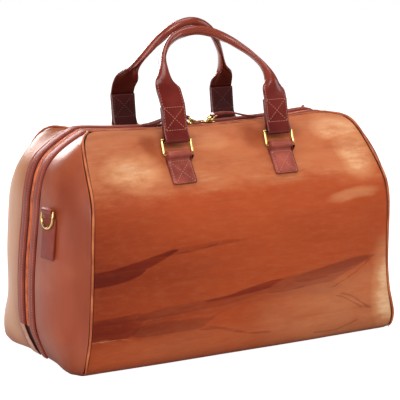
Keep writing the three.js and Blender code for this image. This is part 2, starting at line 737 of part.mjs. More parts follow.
function rolledHandle(rows, side) {
  const bar = new THREE.Vector3(rows[0].x, side * rows[0].y, rows[0].z);
  const half = rows.slice(1).map(({ x, y, z }) => new THREE.Vector3(x, side * y, z));
  const strapUp = new THREE.Vector3().subVectors(half[0], bar).normalize();
  const strapOut = new THREE.Vector3(0, side, 0).projectOnPlane(strapUp).normalize();
  half[0].addScaledVector(strapOut, plyOffset);
  const otherHalf = half.slice(0, -1).reverse().map((p) => new THREE.Vector3(-p.x, p.y, p.z));
  const curve = new THREE.CatmullRomCurve3([...half, ...otherHalf], false, 'centripetal');
  const curls = rows.slice(1).map((row) => row.curl);
  const allCurls = [...curls, ...curls.slice(0, -1).reverse()];
  const steps = Math.round((allCurls.length - 1) * HANDLE_STEPS_PER_ROW);
  const focus = new THREE.Vector3(0, side * rows[HANDLE_FOCUS_ROW].y, HANDLE_FOCUS_Z);
  const fold = strapFold(bar, strapUp, strapOut);
  const arch = Array.from({ length: steps - 1 }, (_, k) => {
    const t = (k + 1) / steps;
    const place = t * (allCurls.length - 1);
    const row = Math.floor(place);
    const curl = mix(allCurls[row], allCurls[row + 1], place - row);
    const point = curve.getPoint(t);
    const along = curve.getTangent(t);
    const flatOut = new THREE.Vector3(0, side, 0).projectOnPlane(along).normalize();
    const archOut = point.clone().sub(focus).projectOnPlane(along).normalize();
    const out = flatOut.lerp(archOut, curl).projectOnPlane(along).normalize();
    return { point, along, out, curl };
  });
  const leg = [...fold, { point: half[0], along: strapUp, out: strapOut, curl: 0 }];
  const otherLeg = leg.map(mirroredStation).reverse();
  return loft([...leg, ...arch, ...otherLeg].map(({ point, along, out, curl }) => {
    const across = new THREE.Vector3().crossVectors(along, out);
    return strapSection(curl).map(([a, o]) => (
      point.clone().addScaledVector(across, a).addScaledVector(out, o)
    ));
  }));
}

bag.add(leather('front_handle', rolledHandle(FRONT_HANDLE, -1), COLOURS.burgundy));
bag.add(leather('back_handle', rolledHandle(BACK_HANDLE, 1), COLOURS.burgundy));

// D-rings and their strips, in a frame that lies flat on the left gusset: x across the strip, y outwards

const stripCourses = COURSES.filter(({ zipZ }) => (
  zipZ > STRIP_LOW_Z - STRIP_MARGIN && zipZ < D_BAR_Z + STRIP_MARGIN
));

// The left gusset's distance out from x = 0 on the strip's centreline, at a height.
function gussetAt(z) {
  const places = stripCourses.map((course) => {
    const s = (-STRIP_CENTRE_Y - GUSSET_EDGE_Y) / (course.seamY - GUSSET_EDGE_Y);
    return gussetPoint(course, s);
  });
  const above = places.findIndex((p) => p.z >= z);
  const low = places[above - 1];
  const high = places[above];
  return mix(low.x, high.x, (z - low.z) / (high.z - low.z));
}

const stripBaseX = gussetAt(D_BAR_Z);
const stripLean = Math.atan2(gussetAt(STRIP_LOW_Z) - stripBaseX, D_BAR_Z - STRIP_LOW_Z);
const midCourse = stripCourses.find(({ zipZ }) => zipZ > (STRIP_LOW_Z + D_BAR_Z) / 2);
const midReach = midCourse.seamY - GUSSET_EDGE_Y;
const midPlace = (-STRIP_CENTRE_Y - GUSSET_EDGE_Y) / midReach;
const gussetSlope = GUSSET_FULLNESS * midPlace ** (GUSSET_FULLNESS - 1)
  * ((midCourse.zipX - midCourse.seamX) / midReach);
const stripTurn = Math.atan(gussetSlope);

const stripLift = GAP + STRIP_BOW + STRIP_THICK / 2;

// The flat strip that is sewn to the gusset.
function ringStrip() {
  const shape = new THREE.Shape();
  const low = -(D_BAR_Z - STRIP_LOW_Z);
  shape.moveTo(stripLift - STRIP_THICK / 2, low);
  shape.lineTo(stripLift + STRIP_THICK / 2, low);
  shape.lineTo(stripLift + STRIP_THICK / 2, -STRIP_TOP_BELOW_BAR);
  shape.lineTo(stripLift - STRIP_THICK / 2, -STRIP_TOP_BELOW_BAR);
  return sweptAcross(shape, STRIP_WIDTH);
}

// The narrower loop above the strip, folded round the D-ring's bar.
function ringLoop() {
  const line = [
    new THREE.Vector2(D_BAR_OFFSET, 0),
    new THREE.Vector2(stripLift + LOOP_NECK.lift, -LOOP_NECK.below),
    new THREE.Vector2(stripLift, -STRIP_TOP_BELOW_BAR + GAP),
  ];
  const hole = D_WIRE_R + GAP;
  return sweptAcross(foldedStrap(line, STRIP_THICK, hole, hole + LOOP_FOLD_WALL), LOOP_WIDTH);
}

function dRing() {
  const half = D_INNER_WIDTH / 2 + D_WIRE_R;
  const points = [new THREE.Vector3(half, D_BAR_OFFSET, 0), new THREE.Vector3(-half, D_BAR_OFFSET, 0)];
  for (let k = 0; k <= D_BOW_STEPS; k += 1) {
    const turn = Math.PI * (1 + k / D_BOW_STEPS);
    const drop = D_HEIGHT - half;
    points.push(new THREE.Vector3(half * Math.cos(turn), D_BAR_OFFSET, half * Math.sin(turn) - drop));
  }
  return tube(points, D_WIRE_R, D_SIDES, () => new THREE.Vector3(0, 1, 0), true);
}

for (const [endName, endTurn] of [['left', 0], ['right', Math.PI]]) {
  const end = new THREE.Group();
  end.rotation.z = endTurn;
  const seat = new THREE.Group();
  seat.position.set(-stripBaseX, STRIP_CENTRE_Y, D_BAR_Z);
  seat.rotation.order = 'ZYX';
  seat.rotation.z = Math.PI / 2 + stripTurn;
  seat.rotation.x = stripLean;
  seat.add(leather(`${endName}_ring_strip`, ringStrip(), COLOURS.burgundy));
  seat.add(leather(`${endName}_ring_loop`, ringLoop(), COLOURS.burgundy));
  seat.add(brass(`${endName}_d_ring`, dRing()));
  end.add(seat);
  bag.add(end);
}

export default bag;
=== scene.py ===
# Looks of a leather travel bag: tan waxed leather body, burgundy trim and handles, brass fittings.
# Metres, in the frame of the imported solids. One section for each piece, in the order the bag is put together.
import math
from contextlib import contextmanager

import bpy
from mathutils import Matrix, Vector
from mathutils.bvhtree import BVHTree


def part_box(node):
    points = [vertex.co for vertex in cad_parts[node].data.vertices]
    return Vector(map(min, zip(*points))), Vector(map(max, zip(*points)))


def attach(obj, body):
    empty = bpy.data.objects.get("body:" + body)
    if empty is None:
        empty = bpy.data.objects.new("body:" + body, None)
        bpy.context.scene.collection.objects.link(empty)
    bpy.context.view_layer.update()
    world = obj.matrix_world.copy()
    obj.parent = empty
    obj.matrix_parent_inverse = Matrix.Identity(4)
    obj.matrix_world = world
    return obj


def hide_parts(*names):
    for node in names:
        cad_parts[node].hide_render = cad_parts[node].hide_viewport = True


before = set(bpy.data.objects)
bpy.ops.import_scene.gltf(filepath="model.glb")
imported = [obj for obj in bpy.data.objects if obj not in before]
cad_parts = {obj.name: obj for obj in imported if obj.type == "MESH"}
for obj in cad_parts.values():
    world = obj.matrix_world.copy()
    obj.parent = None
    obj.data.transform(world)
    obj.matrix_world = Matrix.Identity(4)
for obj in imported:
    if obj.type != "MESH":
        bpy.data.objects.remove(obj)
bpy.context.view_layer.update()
MM = 0.001


# The studio. A white floor that runs out of the picture and glows behind the bag, soft lamps in front, overhead,
# behind and at both ends, and a camera thirty degrees to the left of the front, a little above the bag.
VIEW_TURN = math.radians(30.09)
VIEW_RISE = math.radians(11.05)
CAMERA_LENS = 153
CAMERA_AWAY = 2.2187
AIM_UP = 0.17215
AIM_RIGHT = -0.00035
FLOOR_SIZE = 30
FLOOR_GREY = (0.42, 0.42, 0.42, 1)
FLOOR_GLOW = 0.92
REAR_FLOOR_GLOW = 1.05
REAR_FLOOR_Y = (-0.1, 0.3)
WHITE = (1, 1, 1, 1)
SURROUND_LIGHT = 0.15
LAMPS = {
    "front_lamp": {"place": (-0.9, -2.3, 1.6), "size": 1.3, "watts": 43},
    "top_lamp": {"place": (0.2, -0.1, 2.3), "size": 1.5, "watts": 22},
    "rear_lamp": {"place": (-0.1, 2.05, 1.1), "size": 1.0, "watts": 46},
    "left_lamp": {"place": (-2.0, -0.9, 0.9), "size": 1.2, "watts": 20},
    "right_lamp": {"place": (1.9, -1.0, 0.8), "size": 1.0, "watts": 9},
}
LAMP_AIM = Vector((0, 0, 0.15))


def set_inputs(made, inputs):
    """Gives a node's inputs their constant values and their links."""
    for socket, value in inputs.items():
        if isinstance(value, bpy.types.NodeSocket):
            made.id_data.links.new(value, made.inputs[socket])
        else:
            made.inputs[socket].default_value = value


def add_node(kind, inputs, **settings):
    """A shader node with its settings and its inputs, in the material that its links come from."""
    tree = next(value.id_data for value in inputs.values() if isinstance(value, bpy.types.NodeSocket))
    made = tree.nodes.new("ShaderNode" + kind)
    for key, value in settings.items():
        setattr(made, key, value)
    set_inputs(made, inputs)
    return made


def new_material(name):
    """A material with its surface shader, and the own coordinates of the object that wears it."""
    material = bpy.data.materials.new(name)
    material.use_nodes = True
    nodes = material.node_tree.nodes
    return material, nodes["Principled BSDF"], nodes.new("ShaderNodeTexCoord").outputs["Object"]


def seen_directly(tree):
    """1 for what the camera sees, 0 for the light that falls on the bag."""
    return tree.nodes.new("ShaderNodeLightPath").outputs["Is Camera Ray"]


bpy.ops.object.select_all(action="DESELECT")
bpy.ops.mesh.primitive_plane_add(size=FLOOR_SIZE)
floor = bpy.context.object
floor.name = "floor"
floor_paint, floor_shader, floor_place = new_material("white floor")
floor_y = add_node("SeparateXYZ", {"Vector": floor_place}).outputs["Y"]
rear_glow = add_node("MapRange", {
    "Value": floor_y, "From Min": REAR_FLOOR_Y[0], "From Max": REAR_FLOOR_Y[1], "To Max": REAR_FLOOR_GLOW})
floor_glow = add_node("Mix", {
    "Factor": seen_directly(floor_paint.node_tree), "A": rear_glow.outputs["Result"], "B": FLOOR_GLOW})
set_inputs(floor_shader, {
    "Base Color": FLOOR_GREY, "Roughness": 0.9, "Specular IOR Level": 0.1,
    "Emission Color": WHITE, "Emission Strength": floor_glow.outputs["Result"]})
floor.data.materials.append(floor_paint)

view_right = Vector((math.cos(VIEW_TURN), -math.sin(VIEW_TURN), 0))
view_back = Vector((-math.sin(VIEW_TURN) * math.cos(VIEW_RISE), -math.cos(VIEW_TURN) * math.cos(VIEW_RISE),
                    math.sin(VIEW_RISE)))
view_up = view_back.cross(view_right)
camera = bpy.data.objects.new("camera", bpy.data.cameras.new("camera"))
bpy.context.collection.objects.link(camera)
camera.data.lens = CAMERA_LENS
camera.matrix_world = Matrix((view_right, view_up, view_back)).transposed().to_4x4()
camera.location = view_right * AIM_RIGHT + view_up * AIM_UP + view_back * CAMERA_AWAY
bpy.context.scene.camera = camera

for lamp_name, lamp_facts in LAMPS.items():
    lamp = bpy.data.objects.new(lamp_name, bpy.data.lights.new(lamp_name, "AREA"))
    bpy.context.collection.objects.link(lamp)
    lamp.data.size = lamp_facts["size"]
    lamp.data.energy = lamp_facts["watts"]
    lamp.location = lamp_facts["place"]
    lamp.rotation_euler = (LAMP_AIM - lamp.location).to_track_quat("-Z", "Y").to_euler()

world = bpy.data.worlds.new("surround")
bpy.context.scene.world = world
world.use_nodes = True
brightness = add_node("Mix", {"Factor": seen_directly(world.node_tree), "A": SURROUND_LIGHT, "B": 1.0})
set_inputs(world.node_tree.nodes["Background"], {"Color": WHITE, "Strength": brightness.outputs["Result"]})
bpy.context.scene.view_settings.view_transform = "Standard"


# The two faces. Each is one hide of waxed, hand-dyed tan leather, 2.4 mm thick, cut to run from the base edge
# up over the shoulder to the zip. The dye has pooled in long dark streaks. The shoulder is paler, partly rubbed and
# partly a painted highlight. Painted shade darkens the lower left and the leather beside the straps, and painted
# highlights and reflections lighten the right end.
LEATHER_CREASE = math.radians(50)
LEATHER_CORNER = 0.9
QUAD_BEND = math.radians(40)
QUAD_SKEW = math.radians(60)
FACE_SUBDIVISIONS = 3
FACE_WAVES = {"long_waves": {"size": 0.11, "depth": 0.0022}, "short_waves": {"size": 0.035, "depth": 0.0006}}
TAN_PALE = (0.78, 0.38, 0.17, 1)
TAN_CREAM = (0.87, 0.60, 0.36, 1)
TAN_WARM = (0.44, 0.071, 0.017, 1)
TAN_DEEP = (0.225, 0.027, 0.006, 1)
SHOULDER_Z = (0.197, 0.222)
HALF_SPAN = 0.25
JOIN_WITHIN = 0.02 * MM
FACES = (("front", -1), ("back", 1))
MIX_SHARE, MIX_FIRST, MIX_SECOND, MIX_RESULT = 0, 6, 7, 2
HIDE_PORES = {"pore_scale": 900, "pore_depth": 0.12 * MM}

# The hide's own patterns: their scale along the three axes, drawn out where it is small, their detail and roughness.
FACE_PATTERNS = {
    "mottle": ((7, 7, 16), 4, 0.55),
    "streaks": ((13, 13, 42), 7, 0.66),
    "fibres": ((5, 5, 150), 6, 0.62),
    "fine_fibres": ((60, 60, 170), 5, 0.6),
    "wrinkles": ((20, 20, 330), 6, 0.7),
}

# How much painted shade deepens the tan at places along the face, in millimetres.
SHADE_ALONG = ((-250, 1), (-200, 0.92), (-140, 0.68), (-60, 0.38), (40, 0.2), (140, 0.04), (250, 0))

# Pools of dye: how far each darkens the tan, and its lower and upper edge in millimetres at places along the face.
# An edge that crosses the other one ends the pool there, and one pool fades out between two places along the face.
DYE_HEIGHTS = (0, 300)
POOL_SOFT = 1.0 * MM
POOLS = {
    "upper_left": {
        "tint": (0.50, 0.30, 0.30, 1),
        "rows": ((-250, 107, 128), (-214, 109, 127.5), (-195, 110, 129), (-180, 111.5, 131), (-165, 114.5, 133.5),
                 (-150, 120, 136), (-140, 126.5, 138.5), (-128, 131, 141), (-115, 136, 143.5), (-104, 141, 145),
                 (-96, 145, 143)),
    },
    "upper_left_tail": {
        "tint": (0.80, 0.72, 0.76, 1),
        "rows": ((-126, 142, 138), (-112, 138, 143), (-95, 139.5, 145.5), (-70, 142, 147), (-40, 143.5, 148.5),
                 (-10, 145.5, 147.5), (10, 148, 146)),
    },
    "left": {
        "tint": (0.58, 0.38, 0.36, 1),
        "fades_at": (-132, -178),
        "rows": ((-250, 45, 70), (-214, 45, 69.5), (-190, 44.5, 70), (-170, 45, 71.5), (-160, 48, 72),
                 (-152, 56, 72.5), (-144, 64, 72), (-135, 71, 70)),
    },
    "long_diagonal": {
        "tint": (0.74, 0.74, 0.90, 1),
        "rows": ((-165, 66, 62), (-150, 63, 69), (-125, 64, 74), (-100, 65, 76), (-70, 66, 77), (-45, 67, 78),
                 (-20, 70, 81.5), (0, 73, 85), (20, 75, 88), (40, 75, 91), (70, 75.5, 94), (100, 77, 97.5),
                 (125, 79, 101), (145, 86, 103.5), (165, 93, 105), (185, 101, 105.5), (197, 106, 104)),
    },
    "under_diagonal": {
        "tint": (0.88, 0.90, 1.0, 1),
        "rows": ((-150, 60, 58), (-125, 59, 66), (-90, 60, 67), (-50, 61, 68), (-20, 64, 71), (20, 66, 75.5),
                 (60, 66, 76), (100, 64, 77.5), (120, 63, 79), (135, 68, 74), (145, 74, 72)),
    },
    "lower_left": {
        "tint": (0.74, 0.78, 0.95, 1),
        "rows": ((-165, 46, 44), (-155, 43, 56), (-130, 42, 58), (-100, 43, 57.5), (-70, 44, 56.5), (-58, 50, 55),
                 (-45, 56.5, 58.5), (-28, 63, 63.5), (-12, 68, 66)),
    },
    "red_core": {
        "tint": (0.68, 0.46, 0.44, 1),
        "rows": ((-66, 77, 75.5), (-58, 74.5, 77.5), (-40, 75, 79), (-20, 76.5, 82), (0, 78.5, 85.5), (20, 81, 88),
                 (40, 86, 91), (55, 92, 90)),
    },
    "brown_core": {
        "tint": (0.82, 0.76, 0.80, 1),
        "rows": ((60, 88, 86), (80, 83, 93.5), (100, 84, 97), (130, 88, 101.5), (155, 93, 104), (175, 98, 105),
                 (188, 105, 103)),
    },
}

# Fine lines in the dye: half their width, and the places that they run through. They thin out past both ends.
LINE_TINT = (0.6, 0.5, 0.55, 1)
LINE_STRENGTH = 0.6
LINE_SOFT = 0.6 * MM
LINE_THINS_OVER = 8
LINE_CROSSING = 3
DYE_LINES = {
    "under_upper_left": {"half": 0.6, "points": ((-100, 139), (-73, 141), (-44, 145))},
    "low_falling": {"half": 0.7, "points": ((-70, 42), (-40, 39), (-20, 33), (0, 28), (30, 25))},
    "low_falling_above": {"half": 0.5, "points": ((-60, 44), (-30, 38), (-5, 31))},
    "under_diagonal": {"half": 0.7, "points": ((30, 75), (50, 74.6), (68, 75.5), (80, 77))},
    "right_rising": {"half": 0.7, "points": ((124, 70), (140, 76), (160, 84), (175, 92), (186, 100))},
    "right_falling": {"half": 1.3, "points": ((140, 60), (150, 57), (160, 52), (172, 44), (186, 37))},
    "right_falling_low": {"half": 0.8, "points": ((132, 58), (146, 53), (158, 46), (172, 40))},
    "right_low": {"half": 1.0, "points": ((100, 14), (130, 13), (150, 17), (165, 22))},
}

# Pale places, partly dye rubbed thin and partly painted highlights and reflections where the shoulder, the top and the
# right end catch the light: the middle and the reach of each in millimetres, and how pale it is. Some rise towards the
# right.
FADE_POWER = 1.8
PALE_WEAR_AND_HIGHLIGHTS = {
    "left_shoulder": {"middle": (-140, 237), "reach": (66, 36), "strength": 0.68},
    "left_shoulder_tail": {"middle": (-128, 217), "reach": (40, 8), "strength": 0.32, "rise": 0.16},
    "left_top": {"middle": (-22, 263), "reach": (54, 24), "strength": 0.4},
    "right_shoulder": {"middle": (177, 237), "reach": (42, 44), "strength": 0.72},
    "right_below_shoulder": {"middle": (157, 187), "reach": (46, 11), "strength": 0.38, "rise": 0.18},
    "right_top": {"middle": (160, 266), "reach": (64, 24), "strength": 0.68},
    # Painted reflection along the right end, where the face curves towards the seam.
    "right_edge": {"middle": (226, 66), "reach": (58, 92), "strength": 0.86},
    # Painted light from the right on the right middle and the lower right.
    "right_middle": {"middle": (178, 70), "reach": (60, 36), "strength": 0.25},
    "lower_right": {"middle": (150, 36), "reach": (200, 80), "strength": 0.3},
    "lower_middle": {"middle": (-60, 22), "reach": (240, 34), "strength": 0.1},
    "left_crease": {"middle": (-196, 43), "reach": (40, 1.3), "strength": 0.34},
}

# Places beside and behind the straps, darkened by painted shadow from the straps and partly by thicker dye, in the same
# way.
DYE_AND_STRAP_SHADOWS = {
    "left_of_left_strap": {"middle": (-106, 262), "reach": (18, 20), "strength": 0.55},
    "behind_left_strap": {"middle": (-66, 266), "reach": (38, 16), "strength": 0.5},
    "left_of_right_strap": {"middle": (42, 262), "reach": (26, 20), "strength": 0.5},
    "behind_right_strap": {"middle": (84, 266), "reach": (38, 16), "strength": 0.5},
}


def select_only(piece):
    """Makes a piece the active one and the only one selected."""
    bpy.ops.object.select_all(action="DESELECT")
    piece.select_set(True)
    bpy.context.view_layer.objects.active = piece


@contextmanager
def editing(piece):
    """Opens a piece's mesh for editing with all of it selected, and closes it again."""
    select_only(piece)
    bpy.ops.object.mode_set(mode="EDIT")
    bpy.ops.mesh.select_all(action="SELECT")
    yield
    bpy.ops.object.mode_set(mode="OBJECT")


def new_piece(name, mesh):
    """A piece with this mesh, selected on its own."""
    piece = bpy.data.objects.new(name, mesh)
    bpy.context.collection.objects.link(piece)
    select_only(piece)
    return piece


def solid_copy(node, name):
    """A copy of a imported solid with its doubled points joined."""
    piece = new_piece(name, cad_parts[node].data.copy())
    with editing(piece):
        bpy.ops.mesh.remove_doubles(threshold=JOIN_WITHIN)
    piece.data.materials.clear()
    return piece


def leather_copy(node, name, subdivisions):
    """A finer copy of a packed leather solid, with its corners kept and its faces rounded."""
    piece = solid_copy(node, name)
    with editing(piece):
        bpy.ops.mesh.select_mode(type="EDGE")
        bpy.ops.mesh.tris_convert_to_quads(face_threshold=QUAD_BEND, shape_threshold=QUAD_SKEW)
        bpy.ops.mesh.select_all(action="DESELECT")
        bpy.ops.mesh.edges_select_sharp(sharpness=LEATHER_CREASE)
        bpy.ops.transform.edge_crease(value=LEATHER_CORNER)
    if subdivisions:
        finer = piece.modifiers.new("finer", "SUBSURF")
        finer.levels = finer.render_levels = subdivisions
        bpy.ops.object.modifier_apply(modifier=finer.name)
    bpy.ops.object.shade_smooth_by_angle(angle=LEATHER_CREASE)
    return piece


def wave(piece, name, direction, size, depth):
    """Soft waves pressed into a leather wall, the same on its inside and outside."""
    cloud = bpy.data.textures.new(piece.name + "_" + name, "CLOUDS")
    cloud.noise_scale = size
    cloud.noise_depth = 1
    waves = piece.modifiers.new(name, "DISPLACE")
    waves.texture = cloud
    waves.texture_coords = "LOCAL"
    waves.direction = direction
    waves.strength = depth
    bpy.context.view_layer.objects.active = piece
    bpy.ops.object.modifier_apply(modifier=waves.name)


def finish_piece(piece, material, body, slot, *nodes):
    """Gives a piece its material and its place in the frame."""
    piece.data.materials.append(material)
    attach(piece, body)
    if nodes:
        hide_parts(*nodes)


def math_node(operation, *values, clamp=False):
    """One sum with values and links."""
    made = add_node("Math", dict(enumerate(values)), operation=operation, use_clamp=clamp)
    return made.outputs["Value"]


def product(first, *others):
    """Values and links multiplied with each other."""
    for other in others:
        first = math_node("MULTIPLY", first, other)
    return first


def scaled(value, factor, more):
    """A value times a factor, with more added to it."""
    return math_node("MULTIPLY_ADD", value, factor, more)


def pushed(axis, pattern, amount):
    """A coordinate that a pattern pushes to and fro."""
    return math_node("ADD", axis, scaled(pattern, amount, -amount / 2))


def ramp(value, low, high, start=0.0, end=1.0):
    """From start at low to end at high, eased between them and level outside them."""
    made = add_node("MapRange", {
        "Value": value, "From Min": low, "From Max": high, "To Min": start, "To Max": end},
        interpolation_type="SMOOTHSTEP")
    return made.outputs["Result"]


def spread(pattern, start, end):
    """A pattern spread evenly from start to end."""
    return add_node("MapRange", {"Value": pattern, "To Min": start, "To Max": end}).outputs["Result"]


def mix_colour(share, first, second, blend="MIX"):
    """Two colours mixed by a share of the second."""
    inputs = {MIX_SHARE: share, MIX_FIRST: first, MIX_SECOND: second}
    return add_node("Mix", inputs, data_type="RGBA", blend_type=blend).outputs[MIX_RESULT]


def stretched_noise(coordinates, scale, detail=4.0, roughness=0.55):
    """Noise that is drawn out where a scale is small."""
    stretch = add_node("Mapping", {"Vector": coordinates, "Scale": scale})
    noise = add_node("TexNoise", {
        "Vector": stretch.outputs["Vector"], "Scale": 1.0, "Detail": detail, "Roughness": roughness})
    return noise.outputs["Fac"]


def leather_grain(coordinates, wrinkle_scale, wrinkle_depth, pore_scale, pore_depth):
    """Pores and fine wrinkles as bumps."""
    wrinkles = stretched_noise(coordinates, wrinkle_scale, 6.0, 0.6)
    coarse = add_node("Bump", {"Height": wrinkles, "Strength": 1.0, "Distance": wrinkle_depth})
    pores = add_node("TexVoronoi", {"Vector": coordinates, "Scale": pore_scale}, feature="SMOOTH_F1")
    fine = add_node("Bump", {
        "Height": pores.outputs["Distance"], "Strength": 0.6, "Distance": pore_depth,
        "Normal": coarse.outputs["Normal"]})
    return fine.outputs["Normal"]


def along_span(x, values, low, high):
    """A value that changes along the face, through (x in millimetres, value) points, from low to high."""
    place = add_node("MapRange", {"Value": x, "From Min": -HALF_SPAN, "From Max": HALF_SPAN})
    curve = add_node("FloatCurve", {"Value": place.outputs["Result"]})
    points = curve.mapping.curves[0].points
    spots = [((at * MM + HALF_SPAN) / (2 * HALF_SPAN), (value - low) / (high - low)) for at, value in values]
    points[0].location = spots[0]
    points[1].location = spots[-1]
    for spot in spots[1:-1]:
        points.new(*spot)
    for point in points:
        point.handle_type = "AUTO_CLAMPED"
    curve.mapping.use_clip = False
    curve.mapping.update()
    return scaled(curve.outputs["Value"], high - low, low)


def dyed_band(x, z, rows, soft):
    """1 between the lower and upper edge of a band that runs along the face, and 0 outside it."""
    low, high = (along_span(x, [(row[0], row[k]) for row in rows], *DYE_HEIGHTS) for k in (1, 2))
    above = scaled(low, -MM, z)
    below = math_node("SUBTRACT", product(high, MM), z)
    return product(ramp(above, -soft, soft), ramp(below, -soft, soft))


def soft_spot(x, z, place):
    """The strength of a place in its middle, fading to 0 at its reach."""
    middle_x, middle_z = place["middle"]
    rise = place.get("rise", 0)
    sunk_z = scaled(x, -rise, z) if rise else z
    away = []
    for axis, middle, reach in zip((x, sunk_z), (middle_x, middle_z - rise * middle_x), place["reach"]):
        steps = scaled(axis, 1 / (reach * MM), -middle / reach)
        away.append(product(steps, steps))
    nearness = ramp(math_node("ADD", *away), 1.0, 0.0)
    return product(math_node("POWER", nearness, FADE_POWER), place["strength"])


def face_leather(name, side):
    """Tan waxed leather with pooled dye, fine dye lines, rubbed places, painted shade and painted highlights."""
    material, shader, coordinates = new_material(name)
    turned = add_node("Mapping", {"Vector": coordinates, "Scale": (-side, 1, 1)}).outputs["Vector"]
    axes = add_node("SeparateXYZ", {"Vector": turned}).outputs
    x, z = axes["X"], axes["Z"]
    mottle, streaks, fibres, fine_fibres, wrinkles = (
        stretched_noise(turned, *pattern) for pattern in FACE_PATTERNS.values())

    # The tan is cloudy, and painted shade deepens it towards the left below the shoulder.
    shade = product(along_span(x, SHADE_ALONG, 0, 1), ramp(z, 0.11, 0.21, 1.0, 0.4), ramp(z, 0.0, 0.06))
    cloud = ramp(mottle, 0.3, 0.7, -0.15, 0.15)
    colour = mix_colour(math_node("ADD", shade, cloud, clamp=True), TAN_WARM, TAN_DEEP)

    # The shoulder and the pale places are paler, partly rubbed and partly painted highlight, and creamy in their
    # middles.
    # The wrinkles on the shoulder carry painted highlights in cream.
    shoulder = ramp(pushed(z, streaks, 0.05), *SHOULDER_Z)
    pale = product(shoulder, 0.26)
    warped_x = pushed(x, mottle, 0.05)
    warped_z = pushed(z, streaks, 0.02)
    for place in PALE_WEAR_AND_HIGHLIGHTS.values():
        pale = math_node("MAXIMUM", pale, soft_spot(warped_x, warped_z, place))
    pale = math_node("MULTIPLY", pale, ramp(streaks, 0.3, 0.7, 0.68, 1.13), clamp=True)
    colour = mix_colour(pale, colour, TAN_PALE)
    colour = mix_colour(ramp(pale, 0.5, 0.9, 0.0, 0.6), colour, TAN_CREAM)
    wrinkle_highlights = product(ramp(wrinkles, 0.53, 0.68, 0.0, 0.12), shoulder, ramp(mottle, 0.38, 0.62))
    colour = mix_colour(wrinkle_highlights, colour, TAN_CREAM)

    # Painted shadow, partly thicker dye, beside and behind the straps; painted shade in the creases; dye thicker along
    # the fibres.
    for place in DYE_AND_STRAP_SHADOWS.values():
        colour = mix_colour(soft_spot(warped_x, warped_z, place), colour, TAN_DEEP)
    # Painted shade in the creases, strongest on the shoulder.
    crease_shade = product(ramp(streaks, 0.5, 0.36), scaled(shoulder, 0.12, 0.05))
    colour = mix_colour(crease_shade, colour, TAN_DEEP)
    colour = mix_colour(ramp(fibres, 0.5, 0.75, 0.0, 0.17), colour, TAN_DEEP)
    colour = mix_colour(ramp(fine_fibres, 0.4, 0.8, 0.0, 0.055), colour, TAN_PALE)

    # The pools and lines of dye have ragged, streaky edges.
    ragged_z = pushed(z, fibres, 0.007)
    streaky = ramp(fibres, 0.3, 0.62, 0.7, 1.0)
    for pool in POOLS.values():
        inside = product(dyed_band(x, ragged_z, pool["rows"], POOL_SOFT), streaky)
        if "fades_at" in pool:
            inside = product(inside, ramp(x, *(at * MM for at in pool["fades_at"])))
        colour = mix_colour(inside, colour, pool["tint"], "MULTIPLY")
    for line in DYE_LINES.values():
        (first_x, first_z), (last_x, last_z) = line["points"][0], line["points"][-1]
        rows = [(first_x - LINE_THINS_OVER, first_z + LINE_CROSSING, first_z - LINE_CROSSING)]
        rows += [(at, height - line["half"], height + line["half"]) for at, height in line["points"]]
        rows += [(last_x + LINE_THINS_OVER, last_z + LINE_CROSSING, last_z - LINE_CROSSING)]
        inside = dyed_band(x, ragged_z, rows, LINE_SOFT)
        colour = mix_colour(product(inside, LINE_STRENGTH), colour, LINE_TINT, "MULTIPLY")

    set_inputs(shader, {
        "Base Color": colour, "Roughness": spread(mottle, 0.38, 0.52), "Specular IOR Level": 0.17,
        "Coat Weight": 0.03, "Coat Roughness": 0.25,
        "Normal": leather_grain(turned, (14, 14, 60), 1.3 * MM, **HIDE_PORES)})
    return material


for face, side in FACES:
    panel = leather_copy(face + "_panel", face + "_face_leather", FACE_SUBDIVISIONS)
    for wave_name, wave_facts in FACE_WAVES.items():
        wave(panel, wave_name, "Y", **wave_facts)
    finish_piece(panel, face_leather(face + " face leather", side), "bag", "tan_leather", face + "_panel")


# The ends. Each end is two gussets of the same tan leather, one each side of the zip, rubbed to a soft sheen and a
# little browner than the faces. They bulge outwards. The middle of the left back one is painted pale, a painted
# reflection of the bright floor behind the bag.
GUSSET_SUBDIVISIONS = 3
GUSSET_WAVE = {"size": 0.09, "depth": 0.0016}
GUSSET_WARM = (0.335, 0.060, 0.021, 1)
GUSSET_DEEP = (0.25, 0.041, 0.013, 1)
GUSSET_PALE = (0.42, 0.105, 0.042, 1)
PAINTED_SHEEN_PALE = (0.48, 0.215, 0.088, 1)
SHEEN_Y = (0.006, 0.052)
SHEEN_END_Y = (0.122, 0.088)
SHEEN_Z = (-0.01, 0.035)
SHEEN_END_Z = (0.33, 0.21)
GUSSET_SHINE = {"rough": (0.38, 0.48), "specular": 0.34, "coat": 0.08}
SHEENED_GUSSET_SHINE = {"rough": (0.4, 0.5), "specular": 0.42, "coat": 0.05}
ENDS = (("left", -1), ("right", 1))
ZIP_EDGE = 21.3 * MM
ZIP_GROOVE = 3.4 * MM
ZIP_GROOVE_RUN = 9 * MM


